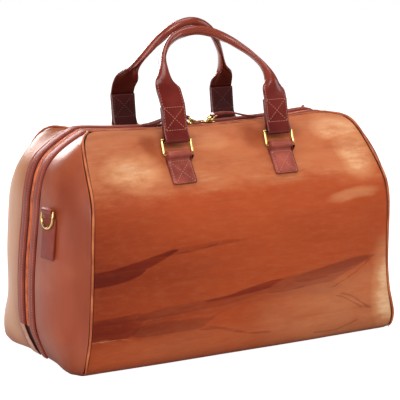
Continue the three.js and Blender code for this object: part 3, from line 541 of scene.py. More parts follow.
def gusset_leather(name, painted_sheen, shine):
    """Browner tan leather with soft upright shading. With a painted sheen, its middle is painted pale: a painted
    reflection.
    """
    material, shader, coordinates = new_material(name)
    mottle = stretched_noise(coordinates, (16, 16, 5), 3.0)
    patches = stretched_noise(coordinates, (9, 9, 9), 3.0)
    colour = mix_colour(ramp(mottle, 0.35, 0.65), GUSSET_DEEP, GUSSET_WARM)
    colour = mix_colour(ramp(patches, 0.5, 0.72, 0.0, 0.6), colour, GUSSET_PALE)
    # The middle is painted pale: a painted reflection of the bright floor behind the bag, faded out near the zip, the
    # back edge, the base and the top.
    if painted_sheen:
        axes = add_node("SeparateXYZ", {"Vector": coordinates}).outputs
        across = pushed(axes["Y"], mottle, 0.03)
        height = pushed(axes["Z"], patches, 0.05)
        pale = ramp(patches, 0.3, 0.7, 0.7, 1.0)
        for value, limits in ((across, SHEEN_Y), (across, SHEEN_END_Y), (height, SHEEN_Z), (height, SHEEN_END_Z)):
            pale = product(pale, ramp(value, *limits))
        colour = mix_colour(pale, colour, PAINTED_SHEEN_PALE)
    set_inputs(shader, {
        "Base Color": colour, "Roughness": spread(patches, *shine["rough"]),
        "Specular IOR Level": shine["specular"], "Coat Weight": shine["coat"], "Coat Roughness": 0.2,
        "Normal": leather_grain(coordinates, (26, 26, 14), 0.8 * MM, **HIDE_PORES)})
    return material


gusset_finish = gusset_leather("gusset leather", False, GUSSET_SHINE)
sheened_gusset_finish = gusset_leather("gusset leather with painted sheen", True, SHEENED_GUSSET_SHINE)
for end in ("left", "right"):
    for face in ("front", "back"):
        node = f"{end}_gusset_{face}"
        gusset = leather_copy(node, node + "_leather", GUSSET_SUBDIVISIONS)
        wave(gusset, "long_waves", "X", **GUSSET_WAVE)
        for vertex in gusset.data.vertices:
            from_zip = abs(vertex.co.y) - ZIP_EDGE
            if from_zip < ZIP_GROOVE_RUN:
                vertex.co.y += math.copysign(ZIP_GROOVE * (1 - from_zip / ZIP_GROOVE_RUN), vertex.co.y)
        hide = sheened_gusset_finish if node == "left_gusset_back" else gusset_finish
        finish_piece(gusset, hide, "bag", "tan_leather", node)


# The base. A flat panel of the same brown tan leather closes the bag from below. It is turned up at its edges and
# sewn to the faces and the ends.
base = leather_copy("base_panel", "base_leather", 0)
finish_piece(base, gusset_finish, "bag", "tan_leather", "base_panel")


# The piped seams. A cord wrapped in a strip of the tan leather is sewn into each seam between face and ends,
# and runs on along the top edge beside the zip. It is paler in patches, and the front cords are a lighter, pale orange
# than the back ones, partly a painted highlight along the seams.
PIPING_R = 1.5
PIPING_PALE = (0.56, 0.160, 0.055, 1)
PIPING_WARM = (0.36, 0.075, 0.026, 1)
PIPING_STEPS = 4
PIPING_TAPER = 10
PIPING_PORES = {"pore_scale": 900, "pore_depth": 0.1 * MM}
CORD_ROUNDNESS = 4
CORD_TIP = 0.3
CORD_CREASE = math.radians(60)

# The seam from the base up to the ridge as (x, out, z), with its share of the ridge's sag, in millimetres.
SEAM = ((222, 109, 3, 0), (223, 115, 10, 0), (222.6, 119, 24, 0), (219, 118.6, 42, 0), (216.2, 116.6, 60, 0),
        (214, 115.2, 90, 0), (213, 116.4, 124, 0), (212.8, 117.4, 158, 0), (211.9, 117.2, 184, 0),
        (209.8, 113.6, 203, 0), (207.5, 105.5, 217.5, 0), (205.2, 94, 232, 0), (202.3, 80.5, 248.5, 0),
        (199, 68, 263, 0.15), (194.5, 56.5, 273.5, 0.5), (187, 45.5, 279, 0.85), (177.5, 34.5, 280.6, 1),
        (167, 23.5, 281, 1), (125, 23.5, 281, 1), (84, 23.5, 281, 1), (42, 23.5, 281, 1), (0, 23.5, 281, 1))
RIDGE_SAG = {"front": {"depth": 5, "power": 2, "half": 167}, "back": {"depth": 9, "power": 4, "half": 185}}


def curve_point(points, at):
    """A smooth curve through points, with at counted in points."""
    k = min(int(at), len(points) - 2)
    t = at - k
    before = points[k - 1] if k else points[0] * 2 - points[1]
    after = points[k + 2] if k + 2 < len(points) else points[-1] * 2 - points[-2]
    start = (points[k + 1] - before) / 2
    end = (after - points[k]) / 2
    gap = points[k + 1] - points[k]
    return points[k] + start * t + (gap * 3 - start * 2 - end) * t ** 2 + (start + end - gap * 2) * t ** 3


def smooth_line(points, steps):
    """The curve through points with some steps from each to the next."""
    return [curve_point(points, k / steps) for k in range((len(points) - 1) * steps + 1)]


def flipped(point):
    """A point on the other end of the bag."""
    return Vector((-point.x, point.y, point.z))


def both_halves(half):
    """A line from end to end, from its half up to the middle of the bag."""
    return half + [flipped(point) for point in reversed(half[:-1])]


def built_piece(name, points, edges, faces):
    """A piece from points and the edges or faces between them."""
    mesh = bpy.data.meshes.new(name)
    mesh.from_pydata(points, edges, faces)
    return new_piece(name, mesh)


def turn_faces_out(piece):
    """Turns a piece's faces outwards."""
    with editing(piece):
        bpy.ops.mesh.normals_make_consistent(inside=False)


def thickened(piece, radius, taper=0):
    """Turns a line of edges into a round cord or wire of that radius. Its ends may taper over some points."""
    select_only(piece)
    bpy.ops.object.convert(target="CURVE")
    wire = bpy.context.object
    wire.data.bevel_depth = radius
    wire.data.bevel_resolution = CORD_ROUNDNESS
    wire.data.use_fill_caps = True
    line = wire.data.splines[0].points
    for k in range(taper):
        line[k].radius = line[-1 - k].radius = CORD_TIP + (1 - CORD_TIP) * k / taper
    bpy.ops.object.convert(target="MESH")
    wire = bpy.context.object
    turn_faces_out(wire)
    wire.data.materials.clear()
    bpy.ops.object.shade_smooth_by_angle(angle=CORD_CREASE)
    return wire


def piping_leather(name, warm, pale):
    """Tan leather stretched over a cord, paler in patches."""
    material, shader, coordinates = new_material(name)
    rubbed = stretched_noise(coordinates, (45, 45, 45), 3.0)
    set_inputs(shader, {
        "Base Color": mix_colour(ramp(rubbed, 0.35, 0.65), warm, pale),
        "Roughness": 0.45, "Specular IOR Level": 0.3,
        "Normal": leather_grain(coordinates, (240, 240, 240), 0.2 * MM, **PIPING_PORES)})
    return material


piping_finishes = {
    # The front cords' lighter orange is partly a painted highlight.
    "front": piping_leather("piping leather", PIPING_WARM, PIPING_PALE),
    "back": piping_leather("back piping leather", GUSSET_DEEP, GUSSET_PALE),
}
for face, side in FACES:
    sag = RIDGE_SAG[face]
    half = [Vector((-x, side * out, z - share * sag["depth"] * max(0, 1 - (x / sag["half"]) ** sag["power"])))
            for x, out, z, share in SEAM]
    seam_line = [point * MM for point in smooth_line(both_halves(half), PIPING_STEPS)]
    seam_edges = [(k, k + 1) for k in range(len(seam_line) - 1)]
    cord = built_piece(face + "_piped_seam", seam_line, seam_edges, [])
    piping = thickened(cord, PIPING_R * MM, PIPING_TAPER)
    finish_piece(piping, piping_finishes[face], "bag", "tan_leather", face + "_piping")


# The zip's trims. A strip of glossy burgundy leather lies on each side of the zip, over the ridge and down both ends,
# sewn with a pale thread near both of its edges. At the ends a strip of it also backs the groove beside the gusset.
# The trim leather is a lighter burgundy than the handles', partly painted light and reflection on the lit ends.
TRIM_WARM = (0.29, 0.056, 0.037, 1)
TRIM_DEEP = (0.20, 0.034, 0.022, 1)
TRIM_SECTION = ((8, -1.6), (8, 0.1), (8.25, 0.65), (9, 1), (14.5, 1.25),
                (20, 1), (20.75, 0.65), (21, 0.1), (21, -1.6))
BACKING_SECTION = ((19.8, -3.4), (19.8, -2.8), (28, -2.8), (28, -3.4))
BACKING_FROM_X = 170
BACKING_TUCK = 9
TRIM_SEAMS = (10.2, 18.8)
TRIM_SEAM_RISE = 1.12
ZIP_STEPS = 4

# The zip's line from the base up to the middle of the ridge as (x, z) in millimetres. The coil starts above the patch.
ZIP_LINE = ((228.5, 3), (233, 10), (239, 24), (245.5, 42), (246.6, 60), (246.8, 90), (245.2, 122), (242.2, 152),
            (239.2, 178), (237.4, 200), (234.8, 215), (231.4, 229), (226, 242), (218, 252.5), (206.5, 261.5),
            (193.5, 270), (181, 276.5), (167, 281), (125, 278.1), (84, 276.1), (42, 274.9), (0, 274.5))
COIL_START = 3
THREAD_PINK = (0.58, 0.25, 0.17, 1)
THREAD_DEEP = (0.38, 0.14, 0.09, 1)
STITCH_PITCH = 3.6 * MM
STITCH_LENGTH = 2.5 * MM
STITCH_WIDTH = 0.85 * MM
STITCH_SINK = 0.1 * MM
STRAP_PORES = {"pore_scale": 1100, "pore_depth": 0.12 * MM}
SHARP_EDGE = math.radians(50)


def vertex_layer(material, layer):
    """The values that a mesh holds at its points under this name."""
    made = material.node_tree.nodes.new("ShaderNodeAttribute")
    made.attribute_name = layer
    return made.outputs["Fac"]


def burgundy_leather(name, deep, warm, dressing, inner_colour=None, grip_colour=None):
    """Dark red-brown leather with a fine grain and more or less dressing.

    A handle has a dark inner side and a warm grip."""
    material, shader, coordinates = new_material(name)
    mottle = stretched_noise(coordinates, (28, 28, 28), 4.0)
    colour = mix_colour(ramp(mottle, 0.3, 0.7), deep, warm)
    if inner_colour:
        rolled, inner_side = (vertex_layer(material, layer) for layer in ("rolled", "inner_side"))
        colour = mix_colour(product(rolled, ramp(mottle, 0.25, 0.6)), colour, grip_colour)
        colour = mix_colour(inner_side, colour, inner_colour)
    set_inputs(shader, {
        "Base Color": colour, "Roughness": spread(mottle, 0.44 - dressing, 0.56 - dressing),
        "Specular IOR Level": 0.14 + 0.8 * dressing, "Coat Weight": dressing, "Coat Roughness": 0.14,
        "Normal": leather_grain(coordinates, (160, 160, 160), 0.25 * MM, **STRAP_PORES)})
    return material


def waxed_thread(name, light, deep):
    """Waxed linen thread with its twist."""
    material, shader, coordinates = new_material(name)
    twist = stretched_noise(coordinates, (1500, 1500, 1500), 2.0)
    set_inputs(shader, {"Base Color": mix_colour(twist, light, deep), "Roughness": 0.6})
    return material


trim_leather = burgundy_leather("zip trim leather", TRIM_DEEP, TRIM_WARM, 0.02)
thread = waxed_thread("pale thread", THREAD_PINK, THREAD_DEEP)


def merged_copy(node, name):
    """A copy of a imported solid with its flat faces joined."""
    piece = solid_copy(node, name)
    with editing(piece):
        bpy.ops.mesh.dissolve_limited(angle_limit=math.radians(1))
    return piece


def rounded_edges(piece, width):
    """Takes the sharpness off a strap's or plate's edges."""
    bpy.context.view_layer.objects.active = piece
    edges = piece.modifiers.new("edges", "BEVEL")
    edges.width = width
    edges.segments = 3
    edges.limit_method = "ANGLE"
    edges.angle_limit = SHARP_EDGE
    bpy.ops.object.modifier_apply(modifier=edges.name)
    bpy.ops.object.shade_smooth_by_angle(angle=math.radians(40))
    return piece


def stitch_shape():
    """One stitch as points and faces: a small spindle of thread lying along X."""
    bpy.ops.object.select_all(action="DESELECT")
    bpy.ops.mesh.primitive_uv_sphere_add(segments=6, ring_count=5, radius=0.5)
    bpy.ops.transform.rotate(value=math.pi / 2, orient_axis="Y", center_override=(0, 0, 0))
    bpy.ops.object.transform_apply(location=True, rotation=True, scale=True)
    sample = bpy.context.object
    points = [v.co.copy() for v in sample.data.vertices]
    faces = [tuple(p.vertices) for p in sample.data.polygons]
    bpy.data.objects.remove(sample)
    return points, faces


STITCH_POINTS, STITCH_FACES = stitch_shape()


def spindles(name, places):
    """One mesh that holds a spindle of thread at each place."""
    all_points = []
    all_faces = []
    for place in places:
        first = len(all_points)
        all_points.extend(place @ point for point in STITCH_POINTS)
        all_faces.extend(tuple(first + k for k in corners) for corners in STITCH_FACES)
    piece = built_piece(name, all_points, [], all_faces)
    bpy.ops.object.shade_smooth()
    return piece


def lying_at(point, along, out, size):
    """Where a shape lies along one direction with its top facing out."""
    along = along.normalized()
    across = out.cross(along).normalized()
    out = along.cross(across)
    turn = Matrix((along, across, out)).transposed().to_4x4()
    return Matrix.Translation(point) @ turn @ Matrix.Diagonal((*size, 1))


def spaced(route, pitch):
    """Points with their directions at an even pitch along a route of (point, out) pairs."""
    reached = [0.0]
    for (a, _), (b, _) in zip(route, route[1:]):
        reached.append(reached[-1] + (b - a).length)
    count = max(1, round(reached[-1] / pitch))
    step = reached[-1] / count
    spots = []
    leg = 0
    for k in range(count):
        at = (k + 0.5) * step
        while reached[leg + 1] < at:
            leg += 1
        (a, out_a), (b, out_b) = route[leg], route[leg + 1]
        share = (at - reached[leg]) / (reached[leg + 1] - reached[leg])
        spots.append((a.lerp(b, share), b - a, out_a.lerp(out_b, share)))
    return spots


def sewn(name, routes, slot="burgundy_leather", yarn=thread):
    """Rows of stitches along routes on a surface."""
    size = (STITCH_LENGTH, STITCH_WIDTH, STITCH_WIDTH)
    places = []
    for route in routes:
        for point, along, out in spaced(route, STITCH_PITCH):
            places.append(lying_at(point - out * STITCH_SINK, along, out, size))
    finish_piece(spindles(name, places), yarn, "bag", slot)


def zip_line(first_row):
    """Points along the zip's smooth line in millimetres from one end to the other, with their outward turns."""
    points = smooth_line(both_halves([Vector((-x, 0, z)) for x, z in ZIP_LINE[first_row:]]), ZIP_STEPS)
    line = []
    for k, point in enumerate(points):
        along = (points[min(k + 1, len(points) - 1)] - points[max(k - 1, 0)]).normalized()
        line.append((point, Vector((-along.z, 0, along.x))))
    return line


def beside_zip(line, y, rise):
    """A row along the zip at a distance to its side, in metres."""
    return [((point + out * rise + Vector((0, y, 0))) * MM, out) for point, out in line]


def lofted(name, rings):
    """A closed skin through equal rings of points in millimetres, with flat ends."""
    size = len(rings[0])
    points = [point * MM for ring in rings for point in ring]
    faces = [tuple(reversed(range(size))), tuple(range(len(points) - size, len(points)))]
    for r in range(len(rings) - 1):
        for k in range(size):
            m = (k + 1) % size
            faces.append((r * size + k, r * size + m, (r + 1) * size + m, (r + 1) * size + k))
    piece = built_piece(name, points, [], faces)
    turn_faces_out(piece)
    bpy.ops.object.shade_smooth_by_angle(angle=SHARP_EDGE)
    return piece


def zip_strip(name, line, section, side):
    """A strip along the zip's line with a section of (distance to the side, rise) pairs."""
    return lofted(name, [[point + out * rise + Vector((0, side * y, 0)) for y, rise in section] for point, out in line])


for face, side, first_row in (("front", -1, 0), ("back", 1, COIL_START)):
    line = zip_line(first_row)
    trim = zip_strip(face + "_zip_leather", line, TRIM_SECTION, side)
    finish_piece(trim, trim_leather, "bag", "burgundy_leather", face + "_zip_trim")
    sewn(face + "_zip_leather_stitches", [beside_zip(line, side * y, TRIM_SEAM_RISE) for y in TRIM_SEAMS])
    for end, outward in ENDS:
        rise_line = [place for place in zip_line(0)[::-outward] if place[0].x * outward > BACKING_FROM_X]
        foot, foot_out = rise_line[0]
        rise_line.insert(0, (foot - Vector((outward * BACKING_TUCK, 0, 0)), foot_out))
        backing = zip_strip(f"{face}_{end}_zip_backing", rise_line, BACKING_SECTION, side)
        finish_piece(backing, trim_leather, "bag", "burgundy_leather")


# The zip. A woven red-brown tape lies under the trims and carries an orange nylon coil, whose two rows of turns
# mesh along the middle of the gap. The tape is very dark, partly painted shade for the gaps beside the coil.
# Very dark, partly painted shade in the gaps between the coil and the trims.
TAPE_BROWN = (0.10, 0.014, 0.008, 1)
TAPE_DEEP = (0.045, 0.006, 0.004, 1)
COIL_ORANGE = (0.72, 0.155, 0.036, 1)
COIL_DEEP = (0.42, 0.070, 0.018, 1)
COIL_BED = ((-3, -1.9), (-3, -1.3), (-2.6, -0.9), (0, -1.2), (2.6, -0.9), (3, -1.3), (3, -1.9), (0, -1.9))
COIL_PITCH = 2.2 * MM
COIL_SIZE = (1.9 * MM, 3.2 * MM, 1.5 * MM)
COIL_OUT = 1.7
COIL_RISE = -0.9


def zip_cloth():
    """Red-brown herringbone tape."""
    material, shader, coordinates = new_material("zip tape cloth")
    weave = add_node("TexWave", {"Vector": coordinates, "Scale": 700.0, "Distortion": 1.0},
                     bands_direction="DIAGONAL").outputs["Fac"]
    bump = add_node("Bump", {"Height": weave, "Strength": 0.5, "Distance": 0.2 * MM})
    set_inputs(shader, {
        "Base Color": mix_colour(weave, TAPE_DEEP, TAPE_BROWN), "Roughness": 0.85,
        "Normal": bump.outputs["Normal"]})
    return material


def coil_nylon():
    """Orange nylon, a little shiny."""
    material, shader, coordinates = new_material("coil nylon")
    tone = stretched_noise(coordinates, (90, 90, 90), 3.0)
    colour = mix_colour(ramp(tone, 0.3, 0.6), COIL_DEEP, COIL_ORANGE)
    set_inputs(shader, {"Base Color": colour, "Roughness": 0.4})
    return material


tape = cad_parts["zip_tape"]
tape.data.materials.clear()
tape.data.materials.append(zip_cloth())

coil_line = zip_line(COIL_START)
nylon = coil_nylon()
coil_bed = zip_strip("zip_coil_bed", coil_line, COIL_BED, 1)
finish_piece(coil_bed, nylon, "bag", "zip_chain", "zip_chain")
coil_places = []
for row in (-1, 1):
    for point, along, out in spaced(beside_zip(coil_line, row * COIL_OUT, COIL_RISE), COIL_PITCH):
        coil_places.append(lying_at(point + along.normalized() * row * COIL_PITCH / 4, along, out, COIL_SIZE))
finish_piece(spindles("zip_coil", coil_places), nylon, "bag", "zip_chain")


# The zip's end patches. A small piece of paler tan leather is sewn over each lower end of the zip, on the back trim's
# line. It widens towards the base, and its cut edge towards the zip is painted dark: painted shade for the gap beside
# the front trim.
PATCH_ROUNDING = 0.5 * MM
PATCH_TOP_Z = 42 * MM
PATCH_KEPT_Y = 12 * MM
PATCH_TRIMMED = 6 * MM
PATCH_TAPER = 0.25
CAST_FROM = 0.3
PATCH_SEAM = ((19, 39.5), (10.5, 39.5), (9.5, 24), (6.5, 11))
PATCH_PALE = (0.58, 0.31, 0.21, 1)
PATCH_WARM = (0.42, 0.15, 0.085, 1)
PATCH_GAP_SHADE = (0.045, 0.007, 0.004, 1)


def patch_hide():
    """Pale tan leather whose cut edge on the side that faces the front is painted dark: painted shade in the gap beside
    it.
    """
    material, shader, coordinates = new_material("patch leather")
    mottle = stretched_noise(coordinates, (60, 60, 60), 3.0)
    colour = mix_colour(ramp(mottle, 0.35, 0.65), PATCH_WARM, PATCH_PALE)
    facing = coordinates.node.outputs["Normal"]
    toward_back = add_node("SeparateXYZ", {"Vector": facing}).outputs["Y"]
    set_inputs(shader, {
        "Base Color": mix_colour(ramp(toward_back, -0.35, -0.75), colour, PATCH_GAP_SHADE),
        "Roughness": 0.45, "Specular IOR Level": 0.25,
        "Normal": leather_grain(coordinates, (90, 90, 90), 0.3 * MM, **STRAP_PORES)})
    return material


def on_surface(piece, points, toward):
    """A route of points cast on to a piece along one direction, with the surface's outward turns."""
    skin = BVHTree.FromObject(piece, bpy.context.evaluated_depsgraph_get())
    route = []
    for point in points:
        hit, normal, _, _ = skin.ray_cast(point, toward)
        if hit is not None:
            route.append((hit, normal if normal.dot(toward) < 0 else -normal))
    return route


def straight(start, end, count=24):
    """Even points from start to end."""
    return [Vector(start).lerp(Vector(end), k / count) for k in range(count + 1)]


patch_leather = patch_hide()
for end, outward in ENDS:
    node = end + "_zip_end_patch"
    patch = merged_copy(node, node + "_leather")
    for vertex in patch.data.vertices:
        if vertex.co.y < PATCH_KEPT_Y:
            vertex.co.y += min(PATCH_TRIMMED, (PATCH_TOP_Z - vertex.co.z) * PATCH_TAPER)
    rounded_edges(patch, PATCH_ROUNDING)
    finish_piece(patch, patch_leather, "bag", "tan_leather", node)
    corners = [(outward * CAST_FROM, y * MM, z * MM) for y, z in PATCH_SEAM]
    rows = [on_surface(patch, straight(*legs), Vector((-outward, 0, 0))) for legs in zip(corners, corners[1:])]
    sewn(end + "_zip_end_patch_stitches", rows, slot="tan_leather")


# The zip's sliders and pulls. Two cast brass sliders meet on the ridge. Each has a wire link, and a doubled
# burgundy leather pull folded round it and sewn along its edges.
BRASS_LIGHT = (0.86, 0.66, 0.27, 1)
BRASS_DEEP = (0.66, 0.45, 0.14, 1)
SLIDER_ROUNDING = 0.6 * MM
LINK_WIRE_R = 0.9 * MM
LINK_CORNER_R = 1.6 * MM
PULL_WARM = (0.19, 0.030, 0.021, 1)
PULL_DEEP = (0.13, 0.018, 0.013, 1)
PULL_ROUNDING = 0.5 * MM
PULL_SEAM_IN = 1.6 * MM
PULL_FOLD = 6 * MM


def polished_brass():
    """Polished yellow brass with faint handling marks."""
    material, shader, coordinates = new_material("polished brass")
    marks = stretched_noise(coordinates, (220, 220, 220), 5.0)
    set_inputs(shader, {
        "Base Color": mix_colour(ramp(marks, 0.35, 0.65), BRASS_DEEP, BRASS_LIGHT),
        "Roughness": spread(marks, 0.14, 0.3), "Metallic": 1.0})
    return material


brass = polished_brass()


def wire_ring(name, lower, upper, across, wire_r, corner_r):
    """A rectangular ring of round wire. lower and upper are the middles of its bars, across is a bar's length."""
    bpy.ops.object.select_all(action="DESELECT")
    bpy.ops.mesh.primitive_plane_add(size=1)
    ring = bpy.context.object
    ring.name = name
    rise = upper - lower
    place = Matrix((across, rise, across.cross(rise).normalized())).transposed().to_4x4()
    ring.data.transform(Matrix.Translation((lower + upper) / 2) @ place)
    with editing(ring):
        bpy.ops.mesh.bevel(offset=corner_r, segments=6, affect="VERTICES")
        bpy.ops.mesh.select_all(action="SELECT")
        bpy.ops.mesh.delete(type="ONLY_FACE")
    return thickened(ring, wire_r)


pull_leather = burgundy_leather("pull leather", PULL_DEEP, PULL_WARM, 0.2)
for end, outward in ENDS:
    slider = rounded_edges(merged_copy(end + "_slider", end + "_slider_body"), SLIDER_ROUNDING)
    finish_piece(slider, brass, "bag", "brass", end + "_slider")
    low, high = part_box(end + "_pull_link")
    near, far = sorted((low.x, high.x), key=abs)
    lower = Vector((near + outward * LINK_WIRE_R, 0, low.z + LINK_WIRE_R))
    upper = Vector((far - outward * LINK_WIRE_R, 0, high.z - LINK_WIRE_R))
    width = Vector((0, high.y - low.y - 2 * LINK_WIRE_R, 0))
    link = wire_ring(end + "_slider_link", lower, upper, width, LINK_WIRE_R, LINK_CORNER_R)
    finish_piece(link, brass, "bag", "brass", end + "_pull_link")
    pull = rounded_edges(merged_copy(end + "_zip_pull", end + "_leather_pull"), PULL_ROUNDING)
    finish_piece(pull, pull_leather, "bag", "burgundy_leather", end + "_zip_pull")
    low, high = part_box(end + "_zip_pull")
    near, far = sorted((low.x, high.x), key=abs)
    seam_from = near + outward * PULL_FOLD
    seam_to = far - outward * PULL_SEAM_IN
    rows = [on_surface(pull, straight((seam_from, y, CAST_FROM), (seam_to, y, CAST_FROM)), Vector((0, 0, -1)))
            for y in (low.y + PULL_SEAM_IN, high.y - PULL_SEAM_IN)]
    sewn(end + "_leather_pull_stitches", rows)


# The handle fittings. A rectangular ring of brass wire hangs each strap's end on a short burgundy tab, which is
# folded round the ring's lower bar and sewn to the face with a box and a cross.
RING_WIRE_R = 1.7 * MM
RING_CORNER_R = 2.6 * MM
TAB_ROUNDING = 0.7 * MM
TAB_CORNER_R = 3 * MM
TAB_FOOT = 6 * MM
TAB_SIDE_WITHIN = 0.05 * MM
TAB_SEAM_IN = 2.6 * MM
TAB_BOX_BELOW_RING = 13 * MM
# The tabs are a lighter, pinker burgundy than the straps: painted light on their sloping faces.
TAB_WARM = (0.43, 0.098, 0.064, 1)
TAB_DEEP = (0.20, 0.034, 0.024, 1)


def round_lower_corners(strap, low, high, radius):
    """Cuts the two lower corners of a strap round."""
    bpy.context.view_layer.objects.active = strap
    for edge in strap.data.edges:
        ends = [strap.data.vertices[k].co for k in edge.vertices]
        at_side = all(min(abs(p.x - low.x), abs(p.x - high.x)) < TAB_SIDE_WITHIN for p in ends)
        through = abs(ends[0].y - ends[1].y) > abs(ends[0].z - ends[1].z)
        edge.select = at_side and through and max(p.z for p in ends) < low.z + TAB_FOOT
    bpy.ops.object.mode_set(mode="EDIT")
    bpy.ops.mesh.select_mode(type="EDGE")
    bpy.ops.mesh.bevel(offset=radius, segments=5, affect="EDGES")
    bpy.ops.object.mode_set(mode="OBJECT")


def box_and_cross(corners):
    """The four sides and two diagonals of a stitched box, as pairs of its corners."""
    return [(corners[a], corners[b]) for a, b in ((0, 1), (1, 2), (2, 3), (3, 0), (0, 2), (1, 3))]


tab_leather = burgundy_leather("tab leather", TAB_DEEP, TAB_WARM, 0.12)
for face, side in FACES:
    for end in ("left", "right"):
        name = f"{face}_{end}"
        low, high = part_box(name + "_ring")
        inner, outer = sorted((low.y, high.y), key=abs)
        middle_x = (low.x + high.x) / 2
        lower = Vector((middle_x, outer - side * RING_WIRE_R, low.z + RING_WIRE_R))
        upper = Vector((middle_x, inner + side * RING_WIRE_R, high.z - RING_WIRE_R))
        width = Vector((high.x - low.x - 2 * RING_WIRE_R, 0, 0))
        ring = wire_ring(name + "_brass_ring", lower, upper, width, RING_WIRE_R, RING_CORNER_R)
        finish_piece(ring, brass, "bag", "brass", name + "_ring")
        low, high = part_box(name + "_tab")
        tab = merged_copy(name + "_tab", name + "_leather_tab")
        round_lower_corners(tab, low, high, TAB_CORNER_R)
        rounded_edges(tab, TAB_ROUNDING)
        finish_piece(tab, tab_leather, "bag", "burgundy_leather", name + "_tab")
        seam_left, seam_right = low.x + TAB_SEAM_IN, high.x - TAB_SEAM_IN
        seam_foot, seam_top = low.z + TAB_SEAM_IN, high.z - TAB_BOX_BELOW_RING
        corners = [(x, side * CAST_FROM, z) for x, z in ((seam_left, seam_foot), (seam_right, seam_foot),
                                                         (seam_right, seam_top), (seam_left, seam_top))]
        rows = [on_surface(tab, straight(*pair), Vector((0, -side, 0))) for pair in box_and_cross(corners)]
        sewn(name + "_tab_stitches", rows)


# The handles. Each is one burgundy strap with its two ends folded up inside round the rings and sewn with a box
# and a cross. Between them the strap is rolled into a round grip, and its edges meet in a sewn fin underneath.
STRAP_WIDTH = 33
STRAP_THICK = 3
STRAP_EDGE = 0.7
PLY_GAP = 0.3
GRIP_ROLL = 5.9
GRIP_MID_R = 3.6
GRIP_THICK = 6
LEAST_ROLL = 1e-3
RING_BAR = {"x": 73.6, "out": 67.6, "z": 270.2}
STRAP_END = 39.5
STRAP_MIDDLE = STRAP_END * 0.6
STRAP_NECK = 9
GRIP_FOCUS_Z = 330
GRIP_LEAN = 0.9
LEAN_FROM_X = 66
LEAN_POWER = 0.7

# Half of each handle from above the ring to the top of the arch, in millimetres: its middle line as (x, out, z), its
# share of roll, and how far the roll is pressed flat across and along its outer side. The roll starts some rows lower
# on the right leg.
HANDLES = {
    "front": ((73.6, 60.0, 308, 0, 1, 1), (74.6, 56.0, 321, 0, 1, 1), (75.0, 48.8, 334, 0.1, 1, 1),
              (71.6, 35.0, 348.5, 0.72, 0.9, 0.95), (64.5, 18.4, 361.5, 1, 0.56, 0.86),
              (55.2, 6.1, 371, 1, 0.6, 0.86), (42.5, -4.6, 380.5, 1, 0.72, 0.86),
              (23.0, -12.5, 389.5, 1, 0.8, 0.86), (0.0, -14.5, 393, 1, 0.82, 0.86)),
    "back": ((73.6, 72.5, 308, 0, 1, 1), (72.8, 70.0, 321, 0, 1, 1), (69.6, 63.6, 334, 0.2, 1, 1),
             (63.4, 54.8, 347.5, 0.86, 0.72, 0.9), (55.4, 46.0, 361.5, 1, 0.56, 0.86),
             (42.0, 35.6, 380, 1, 0.7, 0.86), (29.3, 29.6, 392, 1, 0.8, 0.86),
             (15.0, 26.4, 400, 1, 0.82, 0.86), (0.0, 25.2, 403, 1, 0.82, 0.86)),
}
ROLL_LOWER = {"front": 1.2, "back": 0.7}
HANDLE_STEPS = 7
BAND_POINTS = 15
EDGE_POINTS = 4
FOLD_TURNS = 10
FOLD_SLACK = 1.2
GRIP_FROM_ROLL = 0.97
FUNNEL_TO_ROLL = 0.8
FIN_REACH = (4.6, 6.7)
FIN_THICK = 2.3
FIN_START = 4
FIN_RISES_OVER = 6
FIN_EDGE = 0.6
FIN_SEAM_IN = 1.2
FIN_SEAM_FROM = 0.4
STRAP_SEAM_IN = 2.4
BOX_ABOVE_BAR = (10.5, 38.4)
STRAP_WARM = (0.175, 0.018, 0.012, 1)
STRAP_DEEP = (0.115, 0.009, 0.006, 1)
GRIP_WARM = (0.25, 0.043, 0.022, 1)
INNER_THREAD = (0.16, 0.05, 0.035, 1)
INNER_MAROON = (0.036, 0.0034, 0.0030, 1)


def strap_spot(roll, share, rise):
    """A place on the strap's section as (across, out). share runs from -0.5 to 0.5, rise is from its middle layer."""
    angle = max(roll * GRIP_ROLL, LEAST_ROLL)
    bend = strap_spread(roll) / angle
    middle = bend * math.sin(angle / 2) / (angle / 2)
    turn = angle * share
    return (bend + rise) * math.sin(turn), (bend + rise) * math.cos(turn) - middle


def strap_spread(roll):
    """The strap's width along its middle layer."""
    return STRAP_WIDTH + (GRIP_ROLL * GRIP_MID_R - STRAP_WIDTH) * roll


def strap_half_thick(roll):
    """Half of the strap's thickness."""
    return (STRAP_THICK + (GRIP_THICK - STRAP_THICK) * roll) / 2


def strap_section(roll, slim, pressed):
    """The strap's outline across its run, as (across, out) pairs in millimetres."""
    half = strap_half_thick(roll)
    corner = min(half, STRAP_THICK / 2) * STRAP_EDGE
    inset = corner / strap_spread(roll)
    turns = [math.pi / 2 * k / EDGE_POINTS for k in range(1, EDGE_POINTS)]
    shares = [(-0.5 + inset) + (1 - 2 * inset) * k / (BAND_POINTS - 1) for k in range(BAND_POINTS)]
    rim = [(0.5 - inset + inset * math.sin(turn), half - corner + corner * math.cos(turn)) for turn in turns]
    under_rim = [(share, -rise) for share, rise in reversed(rim)]
    right_half = rim + [(0.5, 0)] + under_rim
    left_half = [(-share, rise) for share, rise in reversed(right_half)]
    outline = [(share, half) for share in shares] + right_half
    outline += [(share, -half) for share in reversed(shares)] + left_half
    spots = [strap_spot(roll, share, rise) for share, rise in outline]
    return [(across * slim, out * pressed) for across, out in spots]


def across_plane(direction, along):
    """The part of a direction that lies across a run."""
    return (direction - along * direction.dot(along)).normalized()


